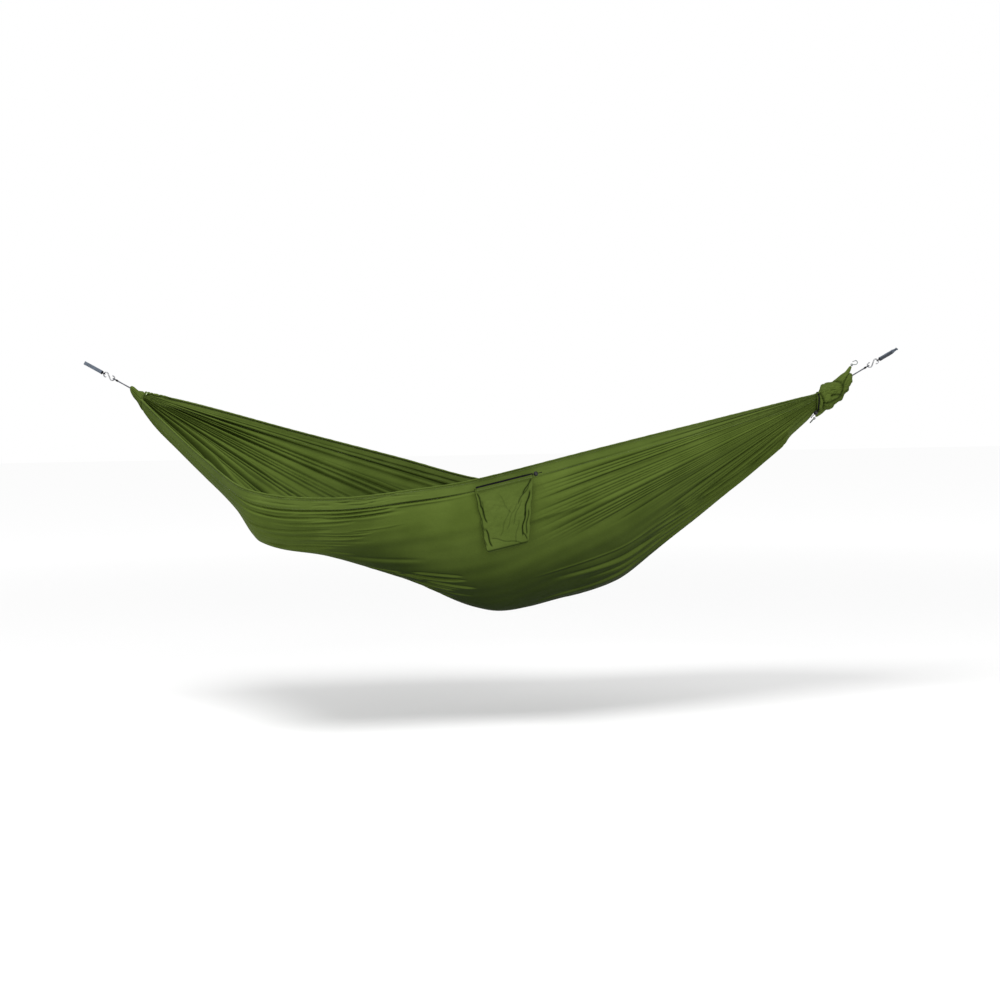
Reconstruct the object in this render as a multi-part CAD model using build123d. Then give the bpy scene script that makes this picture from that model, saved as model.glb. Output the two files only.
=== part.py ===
"""Gathered-end camping hammock, hung between two anchors and shaped as it hangs in use.

Frame: origin at the centre of the left anchor eye, +X to the right anchor, +Z up,
and -Y towards the near side, which carries the stash pocket.  Millimetres.
"""
from build123d import *
from math import cos, radians, sin, sqrt
import os

# ---- driving dimensions -------------------------------------------------------------
ANCHOR_SPAN = 2985       # from anchor eye to anchor eye
HANG_ANGLE = 30          # slope of both suspension lines below the horizontal, degrees
SUSPENSION_LENGTH = 193  # from an anchor eye to the nose of the fabric, along the line
CLOTH_THICKNESS = 3.0    # wall of the cloth solids
BAND_WIDTH = 36          # edge band, across
SEAM_GAP = 1.2           # between a band and the centre panel

WEBBING_WIDTH = 13
WEBBING_THICKNESS = 2.4
EYE_BORE_RADIUS = 4.0
EYE_WALL = 2.0
EYE_CUT_X = 9.0          # the swing splits the strap from its eye at this plane
SWING_GAP = 0.3

HOOK_WIRE_RADIUS = 2.25
HOOK_BOW_RADIUS = 8.5    # to the middle of the wire
UPPER_BOW_AT = 92        # bow centres, along the line from the anchor
LOWER_BOW_AT = 118
HOOK_END_ANGLE = 290     # where the bow's free end stops, degrees round from the line

LOOP_TUBE_RADIUS = 1.75  # the bunched webbing loop on the upper bow
LOOP_RADIUS = 4.8
STRAP_END_AT = 76
LOOP_NECK = (9, 3.6)     # width and thickness where the webbing bunches into the loop
TAIL_FROM = 24           # the right strap's sewn-down tail
TAIL_NARROWER = 3        # than the strap
TAIL_OFFSET = -2.5       # across the strap, towards the ground
SEAT = 0.05              # clearance between two pieces that lie on each other

ROPE_RADIUS = 2.25
ROPE_EYE_RADIUS = 4.7
STRAND_OFFSET = 2.3      # each of the two strands, off the line
WHIPPING_FROM, WHIPPING_TO = 133.5, 142
WHIPPING_SIZE = (12.4, 7.2)
TURN_OFFSET = 9          # the rope's strands, off the line where they turn in the channel
TURN_DEPTH = 21          # of that turn, behind the nose
KNOB_RADII = (15.5, 17, 17)            # the bunched end channel
BARTACK = (2.2, 0.8)                   # width and height of a bar of thread
KNOT_RADIUS = 2.6

POCKET_TOP = 204         # length of the mouth
POCKET_FOOT = 146
POCKET_DEPTH = 232       # from the mouth down
MOUTH_SLOPE = 12.5       # degrees, up to the right
FOOT_SHIFT = 15          # the foot's middle, to the right of the mouth's
POCKET_THICKNESS = 16
POCKET_WALL = 3
POCKET_CORNER = 16       # radius of the two corners of the foot

LOCK_RADIUS = 8          # round cord lock
LOCK_HEIGHT = 7.2        # half its height, along the button
LOCK_HOLE_RADIUS = 1.7
BORE_FLOOR = -5.4        # the button's blind bore, from the cord's axis
BUTTON_RADIUS = 4.4
BUTTON_FOOT = -2.6
BUTTON_TOP = 10.4
BUTTON_TRAVEL = 2.0

SMALL_WIRE_RADIUS = 1.4  # the wire of the sleeve's two small hooks
SMALL_EYE_RADIUS = 3.4
SMALL_LOOP_RADIUS = 3.0  # the cord loop that each small hook hangs in
SMALL_CORD_RADIUS = 0.8

# ---- guide lines of the cloth: (x, y, z) from the left gather to the right one ------
FRONT_RIM = [
    (198, -26, -124), (340, -170, -240), (495, -330, -355), (675, -520, -455),
    (940, -480, -490), (1245, -410, -467), (1430, -380, -440), (1870, -290, -340),
    (2310, -160, -243), (2615, -60, -180), (2690, -14, -168), (2787, -11, -114),
]
KEEL = [
    (198, -5, -160), (265, -60, -238), (360, -130, -322), (470, -215, -418),
    (600, -320, -532), (690, -385, -640), (920, -330, -700), (1155, -220, -788),
    (1475, -60, -928), (1735, 40, -900), (1945, 90, -845), (2080, 110, -750),
    (2410, 60, -472), (2650, 12, -260), (2690, 2, -214), (2787, 0, -140),
]
BACK_RIM = [
    (198, 14, -108), (405, 90, -163), (760, 200, -271), (1135, 290, -379),
    (1420, 330, -463), (1755, 400, -515), (2110, 440, -510), (2380, 350, -405),
    (2580, 150, -272), (2690, 14, -176), (2787, 11, -116),
]
STATIONS = [
    198, 265, 360, 470, 600, 690, 800, 940, 1100, 1290, 1475, 1640, 1800, 1945,
    2080, 2240, 2410, 2560, 2650, 2690, 2740, 2787,
]
RIM_DROP = 0.55          # how far the cloth hangs before it turns in, share of its depth
RIM_BULGE = 0.08         # how far it swells out below the rim, share of its depth
BELLY_SPREAD = 0.50      # how far the belly runs flat, share of the half width

LINE = Plane(
    origin=(0, 0, 0),
    x_dir=(cos(radians(HANG_ANGLE)), 0, -sin(radians(HANG_ANGLE))),
    z_dir=(0, -1, 0),
)


# ---- the cloth ----------------------------------------------------------------------
def guide(points, x):
    """(y, z) of a smooth line through the points, at x."""
    last = len(points) - 1
    i = max(k for k in range(last) if points[k][0] <= x)

    def slope(k, axis):
        a, b = max(k - 1, 0), min(k + 1, last)
        return (points[b][axis] - points[a][axis]) / (points[b][0] - points[a][0])

    span = points[i + 1][0] - points[i][0]
    t = (x - points[i][0]) / span
    weights = (
        2 * t**3 - 3 * t**2 + 1, (t**3 - 2 * t**2 + t) * span,
        3 * t**2 - 2 * t**3, (t**3 - t**2) * span,
    )
    return tuple(
        weights[0] * points[i][axis] + weights[1] * slope(i, axis)
        + weights[2] * points[i + 1][axis] + weights[3] * slope(i + 1, axis)
        for axis in (1, 2)
    )


def bezier(p0, p1, p2, p3, t):
    u = 1 - t
    return tuple(
        u**3 * a + 3 * u * u * t * b + 3 * u * t * t * c + t**3 * d
        for a, b, c, d in zip(p0, p1, p2, p3)
    )


def half_section(rim, keel, steps):
    """Points (y, z) from a rim down to the keel: nearly upright at the rim, flat at the keel."""
    depth = rim[1] - keel[1]
    outward = 1 if rim[0] > keel[0] else -1
    below_rim = (rim[0] + outward * RIM_BULGE * depth, rim[1] - RIM_DROP * depth)
    beside_keel = (keel[0] + BELLY_SPREAD * (rim[0] - keel[0]), keel[1])
    return [bezier(rim, below_rim, beside_keel, keel, k / steps) for k in range(steps + 1)]


def section(x, steps=24):
    """The outer line of the cloth at x, as (y, z) points from the front rim to the back rim."""
    front, keel, back = (guide(g, x) for g in (FRONT_RIM, KEEL, BACK_RIM))
    return half_section(front, keel, steps) + half_section(back, keel, steps)[-2::-1]


def lengths(points):
    """Running length along a list of points."""
    run = [0.0]
    for (y0, z0), (y1, z1) in zip(points, points[1:]):
        run.append(run[-1] + sqrt((y1 - y0) ** 2 + (z1 - z0) ** 2))
    return run


def at_length(points, run, s):
    """The point at length s, and the unit normal that points into the hollow."""
    i = max(k for k in range(len(run) - 1) if run[k] <= s or k == 0)
    t = (s - run[i]) / (run[i + 1] - run[i])
    (y0, z0), (y1, z1) = points[i], points[i + 1]
    dy, dz = (y1 - y0) / (run[i + 1] - run[i]), (z1 - z0) / (run[i + 1] - run[i])
    return (y0 + t * (y1 - y0), z0 + t * (z1 - z0)), (-dz, dy)


def band_width(total):
    """The edge band narrows where the cloth is gathered."""
    return min(BAND_WIDTH, 0.14 * total)


def strip_wire(x, where, count):
    """Closed wire round a strip of the cloth at x: where(total) gives its two end lengths."""
    points = section(x)
    run = lengths(points)
    low, high = where(run[-1])
    outer, inner = [], []
    for k in range(count):
        (y, z), (ny, nz) = at_length(points, run, low + (high - low) * k / (count - 1))
        outer.append(Vector(x, y, z))
        inner.append(Vector(x, y + CLOTH_THICKNESS * ny, z + CLOTH_THICKNESS * nz))
    return Wire([
        Edge.make_spline(outer), Edge.make_line(outer[-1], inner[-1]),
        Edge.make_spline(inner[::-1]), Edge.make_line(inner[0], outer[0]),
    ])


def cloth_strip(where, count):
    return Solid.make_loft([strip_wire(x, where, count) for x in STATIONS])


def centre_panel():
    def where(total):
        edge = band_width(total) + SEAM_GAP
        return edge, total - edge
    return cloth_strip(where, 15)


def front_edge_band():
    return cloth_strip(lambda total: (0, band_width(total)), 4)


def back_edge_band():
    return cloth_strip(lambda total: (total - band_width(total), total), 4)


# ---- suspension: built on the left line, mirrored for the right ---------------------
def on_right(shape):
    return mirror(shape, about=Plane.YZ.offset(ANCHOR_SPAN / 2))


def line_box(start, end, width, thickness):
    """A box along the hanging line, from start to end."""
    box = Box(end - start, width, thickness, align=(Align.MIN, Align.CENTER, Align.CENTER))
    return Pos(start, 0, 0) * box


def beyond_eye_cut():
    """Everything on the strap's side of the plane that the swing turns in."""
    reach = 4 * STRAP_END_AT
    return Pos(EYE_CUT_X + SWING_GAP, 0, 0) * Box(
        reach, reach, reach, align=(Align.MIN, Align.CENTER, Align.CENTER)
    )


def strap_eye():
    """Webbing end folded back into a small sewn eye; its bore runs across the webbing."""
    outer = EYE_BORE_RADIUS + EYE_WALL
    ring = Rot(90, 0, 0) * Cylinder(outer, WEBBING_WIDTH)
    neck = line_box(0, 4 * outer, WEBBING_WIDTH, WEBBING_THICKNESS)
    bore = Rot(90, 0, 0) * Cylinder(EYE_BORE_RADIUS, 2 * WEBBING_WIDTH)
    near_side = Box(200, 200, 200, align=(Align.MAX, Align.CENTER, Align.CENTER))
    return (LINE * (ring + neck - bore)) & (Pos(EYE_CUT_X, 0, 0) * near_side)


def strap():
    return (LINE * line_box(0, STRAP_END_AT, WEBBING_WIDTH, WEBBING_THICKNESS)) & beyond_eye_cut()


def strap_tail():
    """The webbing's free end, laid flat along the near side of the strap and sewn down."""
    width = WEBBING_WIDTH - TAIL_NARROWER
    tail = line_box(TAIL_FROM, STRAP_END_AT, width, WEBBING_THICKNESS / 2)
    clear = 0.75 * WEBBING_THICKNESS + SEAT
    return LINE * (Pos(0, TAIL_OFFSET, -clear) * tail)


def strap_loop():
    """Bunched webbing loop round the wire of the hook's upper bow."""
    crest = UPPER_BOW_AT - HOOK_BOW_RADIUS
    ring = Pos(crest, 0, 0) * Rot(90, 0, 0) * Torus(LOOP_RADIUS, LOOP_TUBE_RADIUS)
    neck = line_box(STRAP_END_AT + 2 * SEAT, crest - LOOP_RADIUS, *LOOP_NECK)
    return LINE * (ring + neck)


def s_hook():
    """Wire S-hook: two bows joined by a straight shank that crosses the line."""
    upper, lower = Vector(UPPER_BOW_AT, 0), Vector(LOWER_BOW_AT, 0)
    lean = 2 * HOOK_BOW_RADIUS / (LOWER_BOW_AT - UPPER_BOW_AT)
    turn = 90 - degrees_of(lean)

    def on_bow(centre, angle):
        return centre + HOOK_BOW_RADIUS * Vector(cos(radians(angle)), sin(radians(angle)))

    middle = (turn + HOOK_END_ANGLE) / 2
    upper_bow = ThreePointArc(
        on_bow(upper, HOOK_END_ANGLE), on_bow(upper, middle), on_bow(upper, turn)
    )
    shank = Line(on_bow(upper, turn), on_bow(lower, turn + 180))
    lower_bow = ThreePointArc(
        on_bow(lower, turn + 180), on_bow(lower, middle + 180),
        on_bow(lower, HOOK_END_ANGLE + 180)
    )
    path = Wire([upper_bow.edge(), shank.edge(), lower_bow.edge()])
    profile = Plane(origin=path @ 0, z_dir=path % 0) * Circle(HOOK_WIRE_RADIUS)
    tips = [Pos(path @ end) * Sphere(HOOK_WIRE_RADIUS) for end in (0, 1)]
    return LINE * (sweep(profile, path=path) + tips)


def degrees_of(sine):
    """Angle in degrees of a sine between 0 and 1."""
    return Vector(1, 0, 0).get_angle(Vector(sqrt(1 - sine**2), sine, 0))


def end_rope():
    """Rope loop: an eye round the hook's lower bow, two strands, and a turn inside the channel."""
    crest = LOWER_BOW_AT + HOOK_BOW_RADIUS
    eye = Pos(crest, 0, 0) * Rot(90, 0, 0) * Torus(ROPE_EYE_RADIUS, ROPE_RADIUS)
    start, widen = crest + ROPE_EYE_RADIUS, SUSPENSION_LENGTH + 3
    near_half = [
        (start, STRAND_OFFSET), (widen, STRAND_OFFSET),
        (widen + TURN_OFFSET + 1, TURN_OFFSET), (widen + TURN_DEPTH, TURN_OFFSET),
    ]
    far_half = [(x, -z) for x, z in near_half[::-1]]
    path = FilletPolyline(*[(x, 0, z) for x, z in near_half + far_half], radius=5)
    profile = Plane(origin=path @ 0, z_dir=path % 0) * Circle(ROPE_RADIUS)
    return LINE * (eye + sweep(profile, path=path))


def rope_whipping(rope):
    """Seizing that holds the two strands together behind the eye."""
    length = WHIPPING_TO - WHIPPING_FROM
    wrap = extrude(SlotOverall(*WHIPPING_SIZE), length)
    body = Pos(WHIPPING_FROM, 0, 0) * Rot(0, 90, 0) * wrap
    return LINE * body - rope


def end_channel(rope):
    """The hem that the rope runs through, bunched into a tight knob."""
    knob = scale(Sphere(1), by=KNOB_RADII)
    return LINE * (Pos(SUSPENSION_LENGTH + KNOB_RADII[0], 0, 0) * knob) - rope


def channel_bartack():
    """Bar of thread across the nose of the left channel."""
    width, height = BARTACK
    bar = Box(width, 9, height)
    proud = KNOB_RADII[2] + 0.2
    return LINE * (Pos(SUSPENSION_LENGTH + 20, -3, proud) * Rot(0, 0, -25) * bar)


def rim_bartack():
    """Bar of thread on the inner face of the back band, just behind the left channel."""
    x, below_rim = 222, 4
    points = section(x)
    run = lengths(points)
    (y, z), (ny, nz) = at_length(points, run, run[-1] - below_rim)
    width, height = BARTACK
    clear = CLOTH_THICKNESS + 2 * height
    return Pos(x, y + clear * ny, z + clear * nz) * Rot(0, 20, 0) * Box(width, height, 7)


# ---- the stash pocket and its cord lock ---------------------------------------------
POCKET = Plane(origin=(1531, -377.7, -449), x_dir=(0.983, 0.184, 0), z_dir=(0.182, -0.974, -0.10))
# POCKET's z points out of the near side and its y up; the mouth slopes with the hammock's rim.
MOUTH = POCKET * Rot(0, 0, MOUTH_SLOPE)
HEM_RADIUS = 3.4
CORD_RADIUS = 1.2
LOCK_AT = POCKET_TOP / 2 + 12
TAIL_END = LOCK_AT + LOCK_RADIUS + 10


def pocket_outline(inset, above=0):
    """The bag's four-sided outline, drawn in by the inset, and run on above the mouth."""
    half_top, half_foot = POCKET_TOP / 2 - inset, POCKET_FOOT / 2 - inset
    rise = sin(radians(MOUTH_SLOPE))
    corners = [(side * half_top, side * half_top * rise + above) for side in (-1, 1)] + [
        (FOOT_SHIFT + side * half_foot, side * half_foot * rise - POCKET_DEPTH + inset)
        for side in (1, -1)
    ]
    outline = Polygon(*corners, align=None)
    return fillet(outline.vertices().sort_by(Axis.Y)[:2], POCKET_CORNER - inset)


def stash_pocket():
    """Flat bag, open along the top, sewn to the near side below the rim."""
    bag = extrude(pocket_outline(0), POCKET_THICKNESS, dir=(0, 0, 1))
    space = extrude(
        pocket_outline(POCKET_WALL, 5), POCKET_THICKNESS - 2 * POCKET_WALL, dir=(0, 0, 1)
    )
    return POCKET * (bag - Pos(0, 0, POCKET_WALL) * space)


def pocket_hem():
    """Turned-over hem along the mouth, round the drawcord."""
    length = POCKET_TOP - 4
    tube = Rot(0, 90, 0) * Cylinder(HEM_RADIUS, length)
    tube -= Rot(0, 90, 0) * Cylinder(CORD_RADIUS + 0.05, length + 2)
    return on_cord(tube)


def on_cord(shape):
    """Puts a shape on the drawcord's axis, measured from the middle of the mouth."""
    return MOUTH * (Pos(0, HEM_RADIUS + 2 * SEAT, POCKET_THICKNESS - HEM_RADIUS) * shape)


def pocket_drawcord():
    start = -POCKET_TOP / 2 + 4
    cord = Pos(start, 0, 0) * Rot(0, 90, 0) * Cylinder(
        CORD_RADIUS, TAIL_END - start, align=(Align.CENTER, Align.CENTER, Align.MIN)
    )
    knot = Pos(TAIL_END, 0, 0) * Sphere(KNOT_RADIUS)
    return on_cord(cord + knot)


def lock_body():
    """Round lock: a cross hole for the cord along x, and a blind bore for the button along z."""
    ball = scale(Sphere(1), by=(LOCK_RADIUS, LOCK_RADIUS, LOCK_HEIGHT))
    cross_hole = Rot(0, 90, 0) * Cylinder(LOCK_HOLE_RADIUS, 4 * LOCK_RADIUS)
    bore = Pos(0, 0, BORE_FLOOR) * Cylinder(
        BUTTON_RADIUS + 0.2, 4 * LOCK_RADIUS, align=(Align.CENTER, Align.CENTER, Align.MIN)
    )
    return ball - cross_hole - bore


def lock_button():
    """Plunger with a slot that is longer than the cord is thick by the button's travel."""
    plunger = Pos(0, 0, BUTTON_FOOT) * Cylinder(
        BUTTON_RADIUS, BUTTON_TOP - BUTTON_FOOT, align=(Align.CENTER, Align.CENTER, Align.MIN)
    )
    plunger = fillet(plunger.edges().sort_by(Axis.Z)[-1], 1.2)
    slot = SlotCenterToCenter(BUTTON_TRAVEL, 2 * LOCK_HOLE_RADIUS, rotation=90)
    cut = extrude(Plane.YZ * (Pos(0, BUTTON_TRAVEL / 2) * slot), 2 * LOCK_RADIUS, both=True)
    return plunger - cut


def lock_spring():
    """Short coil under the plunger."""
    wire_radius = 0.22
    coil = Helix(pitch=0.85, height=BUTTON_FOOT - BORE_FLOOR - 4 * wire_radius, radius=3.2)
    profile = Plane(origin=coil @ 0, z_dir=coil % 0) * Circle(wire_radius)
    return Pos(0, 0, BORE_FLOOR + 2 * wire_radius) * sweep(profile, path=coil)


# ---- the stowed sleeve on the right end ---------------------------------------------
# Sections of the bundle: (x, z) of the centre, lean of the section, half height, half depth.
SLEEVE_SECTIONS = [
    (2694, -190, 0, 35, 32), (2722, -172, 20, 42, 38), (2757, -152, 38, 38, 36),
    (2790, -122, 42, 27, 27), (2808, -100, 40, 21, 21),
]
SLEEVE_WALL = 3.5
CUFF = 10                # straight part at the inboard end, under the elastic
UPPER_TIP = Vector(2812.5, 0, -65)
LOWER_TIP = Vector(2683.7, 0, -244.3)
UPPER_EYE = Vector(2817, 0, -57)
UPPER_WAY = Vector(0.5, 0, 0.866)      # from the sleeve's tip to the small hook
LOWER_EYE = Vector(2677.5, 0, -251.5)
LOWER_WAY = Vector(-0.66, 0, -0.751)

ELASTIC_WIDTH = 6
ELASTIC_THICKNESS = 1.6
ELASTIC_CORD_RADIUS = 1.3
TAIL_START = Vector(2691, -22, -219)
TAIL_WAY = Vector(-0.72, -0.10, -0.687)
TAIL_LENGTH = 40
SLEEVE_LOCK_AT = 17      # along the tail


def sleeve_solid(inset):
    """The bundle's bulk, drawn in by the inset."""
    sections = [
        Plane(origin=(x, 0, z), x_dir=(0, 1, 0), z_dir=(cos(radians(lean)), 0, sin(radians(lean))))
        * Ellipse(depth - inset, height - inset)
        for x, z, lean, height, depth in SLEEVE_SECTIONS
    ]
    first = sections[0].face()
    return loft(sections) + extrude(first, CUFF, dir=(-1, 0, 0))


def tapered(start, start_radius, end, end_radius):
    """A round fold of cloth that narrows to a rounded tip."""
    way = (end - start).normalized()
    root = Plane(origin=start, z_dir=way) * Circle(start_radius)
    top = Plane(origin=end, z_dir=way) * Circle(end_radius)
    return loft([root, top]) + Pos(end) * Sphere(end_radius)


def storage_sleeve(loops):
    """Tubular storage sleeve, pushed back over the gathered end in a thick roll."""
    upper_fold = tapered(Vector(2785, 0, -106), 15, UPPER_TIP, 3.2)
    lower_fold = tapered(Vector(2718, 0, -208), 14, LOWER_TIP, 3.2)
    return sleeve_solid(0) + upper_fold + lower_fold - sleeve_core() - loops


def sleeve_core():
    """The hollow of the sleeve, run on past both of its ends."""
    x, z, lean, height, _ = SLEEVE_SECTIONS[-1]
    out = Vector(cos(radians(lean)), 0, sin(radians(lean)))
    mouth = Plane(origin=(x, 0, z), z_dir=out) * Circle(height - SLEEVE_WALL)
    x, z, _, height, depth = SLEEVE_SECTIONS[0]
    cuff = Plane(origin=(x, 0, z), x_dir=(0, 1, 0), z_dir=(1, 0, 0)) * Ellipse(
        depth - SLEEVE_WALL, height - SLEEVE_WALL
    )
    return (
        sleeve_solid(SLEEVE_WALL) + extrude(mouth, 40, dir=out)
        + extrude(cuff, CUFF + 5, dir=(-1, 0, 0))
    )


def small_loop(eye, way):
    """Cord loop sewn into a fold of the sleeve, linked through a small hook's eye."""
    centre = eye - way * SMALL_LOOP_RADIUS
    side = way.cross(Vector(0, 1, 0))
    return Plane(origin=centre, z_dir=side) * Torus(SMALL_LOOP_RADIUS, SMALL_CORD_RADIUS)


def small_hook(plane):
    """Wire J-hook in a plane whose origin is its eye and whose x runs along the hook."""
    arm, bend, spread = 14, 7.2, 3.2
    lower = Line((spread, 0), (arm, 0))
    turn = ThreePointArc((arm, 0), (arm + bend, bend), (arm, 2 * bend))
    upper = Line((arm, 2 * bend), (spread + 1, 2 * bend - 3.4))
    path = plane * Wire([lower.edge(), turn.edge(), upper.edge()])
    profile = Plane(origin=path @ 0, z_dir=path % 0) * Circle(SMALL_WIRE_RADIUS)
    eye = Plane(origin=plane.origin, z_dir=(0, 1, 0)) * Torus(SMALL_EYE_RADIUS, SMALL_WIRE_RADIUS)
    return sweep(profile, path=path) + Pos(path @ 1) * Sphere(SMALL_WIRE_RADIUS) + eye


def upper_hook():
    return small_hook(Plane(origin=UPPER_EYE, x_dir=(1, 0, 0.06), z_dir=(0.06, -1, 0)))


def lower_hook():
    """Seen on edge from the near side: its bend turns away to the back."""
    return small_hook(
        Plane(origin=LOWER_EYE, x_dir=LOWER_WAY, z_dir=LOWER_WAY.cross(Vector(0, 1, 0)))
    )


def sleeve_elastic():
    """Flat elastic round the sleeve's cuff, with a round cord tail that carries the lock."""
    x, z, _, height, depth = SLEEVE_SECTIONS[0]
    around = Plane(origin=(x - 1, 0, z), x_dir=(0, 1, 0), z_dir=(-1, 0, 0))
    inner = Ellipse(depth + 0.1, height + 0.1)
    outer = Ellipse(depth + ELASTIC_THICKNESS, height + ELASTIC_THICKNESS)
    band = extrude(around * (outer - inner), ELASTIC_WIDTH)
    tail = Plane(origin=TAIL_START, z_dir=TAIL_WAY) * Cylinder(
        ELASTIC_CORD_RADIUS, TAIL_LENGTH, align=(Align.CENTER, Align.CENTER, Align.MIN)
    )
    knot = Pos(TAIL_START + TAIL_WAY * TAIL_LENGTH) * Sphere(KNOT_RADIUS)
    return band + (tail - sleeve_solid(-0.1)) + knot


SLEEVE_LOCK = Plane(
    origin=TAIL_START + TAIL_WAY * SLEEVE_LOCK_AT, x_dir=TAIL_WAY, z_dir=(0.139, -1.0, 0)
)


# ---- export -------------------------------------------------------------------------
def build_parts():
    left_rope = end_rope()
    left_channel = end_channel(left_rope)
    left_whipping = rope_whipping(left_rope)
    loops = [small_loop(UPPER_EYE, UPPER_WAY), small_loop(LOWER_EYE, LOWER_WAY)]
    return {
        "centre_panel": centre_panel(),
        "front_edge_band": front_edge_band(),
        "back_edge_band": back_edge_band(),
        "left_end_channel": left_channel,
        "right_end_channel": on_right(left_channel),
        "channel_bartack": channel_bartack(),
        "rim_bartack": rim_bartack(),
        "left_rope": left_rope,
        "right_rope": on_right(left_rope),
        "left_rope_whipping": left_whipping,
        "right_rope_whipping": on_right(left_whipping),
        "left_s_hook": s_hook(),
        "right_s_hook": on_right(s_hook()),
        "left_strap_loop": strap_loop(),
        "right_strap_loop": on_right(strap_loop()),
        "left_strap": strap(),
        "right_strap": on_right(strap()),
        "right_strap_tail": on_right(strap_tail()),
        "left_strap_eye": strap_eye(),
        "right_strap_eye": on_right(strap_eye()),
        "stash_pocket": stash_pocket(),
        "pocket_hem": pocket_hem(),
        "pocket_drawcord": pocket_drawcord(),
        "pocket_lock_body": on_cord(Pos(LOCK_AT, 0, 0) * lock_body()),
        "pocket_lock_button": on_cord(Pos(LOCK_AT, 0, 0) * lock_button()),
        "pocket_lock_spring": on_cord(Pos(LOCK_AT, 0, 0) * lock_spring()),
        "storage_sleeve": storage_sleeve(loops),
        "sleeve_elastic": sleeve_elastic(),
        "sleeve_lock_body": SLEEVE_LOCK * lock_body(),
        "sleeve_lock_button": SLEEVE_LOCK * lock_button(),
        "sleeve_lock_spring": SLEEVE_LOCK * lock_spring(),
        "upper_hook": upper_hook(),
        "upper_hook_loop": loops[0],
        "lower_hook": lower_hook(),
        "lower_hook_loop": loops[1],
    }


if __name__ == "__main__":
    os.makedirs("parts", exist_ok=True)
    for name, shape in build_parts().items():
        export_step(shape, f"parts/{name}.step")
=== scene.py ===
"""Looks of the gathered-end camping hammock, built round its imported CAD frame. Metres."""
import math

import bpy
import numpy as np
from mathutils import Matrix, Vector


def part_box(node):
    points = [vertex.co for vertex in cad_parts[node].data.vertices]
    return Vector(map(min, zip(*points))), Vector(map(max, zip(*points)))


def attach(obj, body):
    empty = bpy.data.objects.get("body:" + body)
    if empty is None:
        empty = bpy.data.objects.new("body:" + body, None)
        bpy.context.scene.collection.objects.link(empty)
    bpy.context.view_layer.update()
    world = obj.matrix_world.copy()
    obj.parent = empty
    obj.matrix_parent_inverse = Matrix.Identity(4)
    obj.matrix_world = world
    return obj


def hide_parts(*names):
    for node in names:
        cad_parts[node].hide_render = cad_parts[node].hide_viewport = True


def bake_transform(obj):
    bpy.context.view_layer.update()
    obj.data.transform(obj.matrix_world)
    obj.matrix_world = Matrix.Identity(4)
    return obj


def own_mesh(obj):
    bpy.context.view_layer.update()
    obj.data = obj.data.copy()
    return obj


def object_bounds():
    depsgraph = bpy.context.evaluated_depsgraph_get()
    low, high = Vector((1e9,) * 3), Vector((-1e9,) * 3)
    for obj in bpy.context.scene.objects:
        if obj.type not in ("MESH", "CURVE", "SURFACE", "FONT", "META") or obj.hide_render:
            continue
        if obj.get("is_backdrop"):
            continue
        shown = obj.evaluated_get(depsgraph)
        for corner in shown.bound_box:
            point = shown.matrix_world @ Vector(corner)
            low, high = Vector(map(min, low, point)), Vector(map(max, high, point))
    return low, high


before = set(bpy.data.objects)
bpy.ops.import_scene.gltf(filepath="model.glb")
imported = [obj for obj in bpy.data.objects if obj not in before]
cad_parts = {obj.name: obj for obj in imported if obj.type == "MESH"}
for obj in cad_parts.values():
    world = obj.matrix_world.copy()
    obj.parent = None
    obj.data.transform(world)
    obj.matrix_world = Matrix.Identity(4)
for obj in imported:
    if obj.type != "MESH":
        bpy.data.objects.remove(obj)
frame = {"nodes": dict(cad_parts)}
cad_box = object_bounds()
nodes = frame["nodes"]

MM = 0.001
rng = np.random.default_rng(7)

# ---- camera: the near side, from slightly above --------------------------------------
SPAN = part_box("right_strap_eye")[1].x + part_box("left_strap_eye")[0].x
CAMERA_PLACE = (1.5173, -6.0, -0.20)
FOCAL_SHARE = 1.63        # focal length over the picture's width
PITCH_DOWN = math.radians(3.165)
ROLL = math.radians(0.987)

camera_data = bpy.data.cameras.new("camera")
camera_data.sensor_width = 36
camera_data.lens = 36 * FOCAL_SHARE
camera = bpy.data.objects.new("camera", camera_data)
bpy.context.scene.collection.objects.link(camera)
camera.matrix_world = (
    Matrix.Translation(CAMERA_PLACE)
    @ Matrix.Rotation(math.pi / 2 - PITCH_DOWN, 4, "X")
    @ Matrix.Rotation(-ROLL, 4, "Z")
)
bpy.context.scene.camera = camera
bpy.context.scene.view_settings.view_transform = "Standard"


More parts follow.
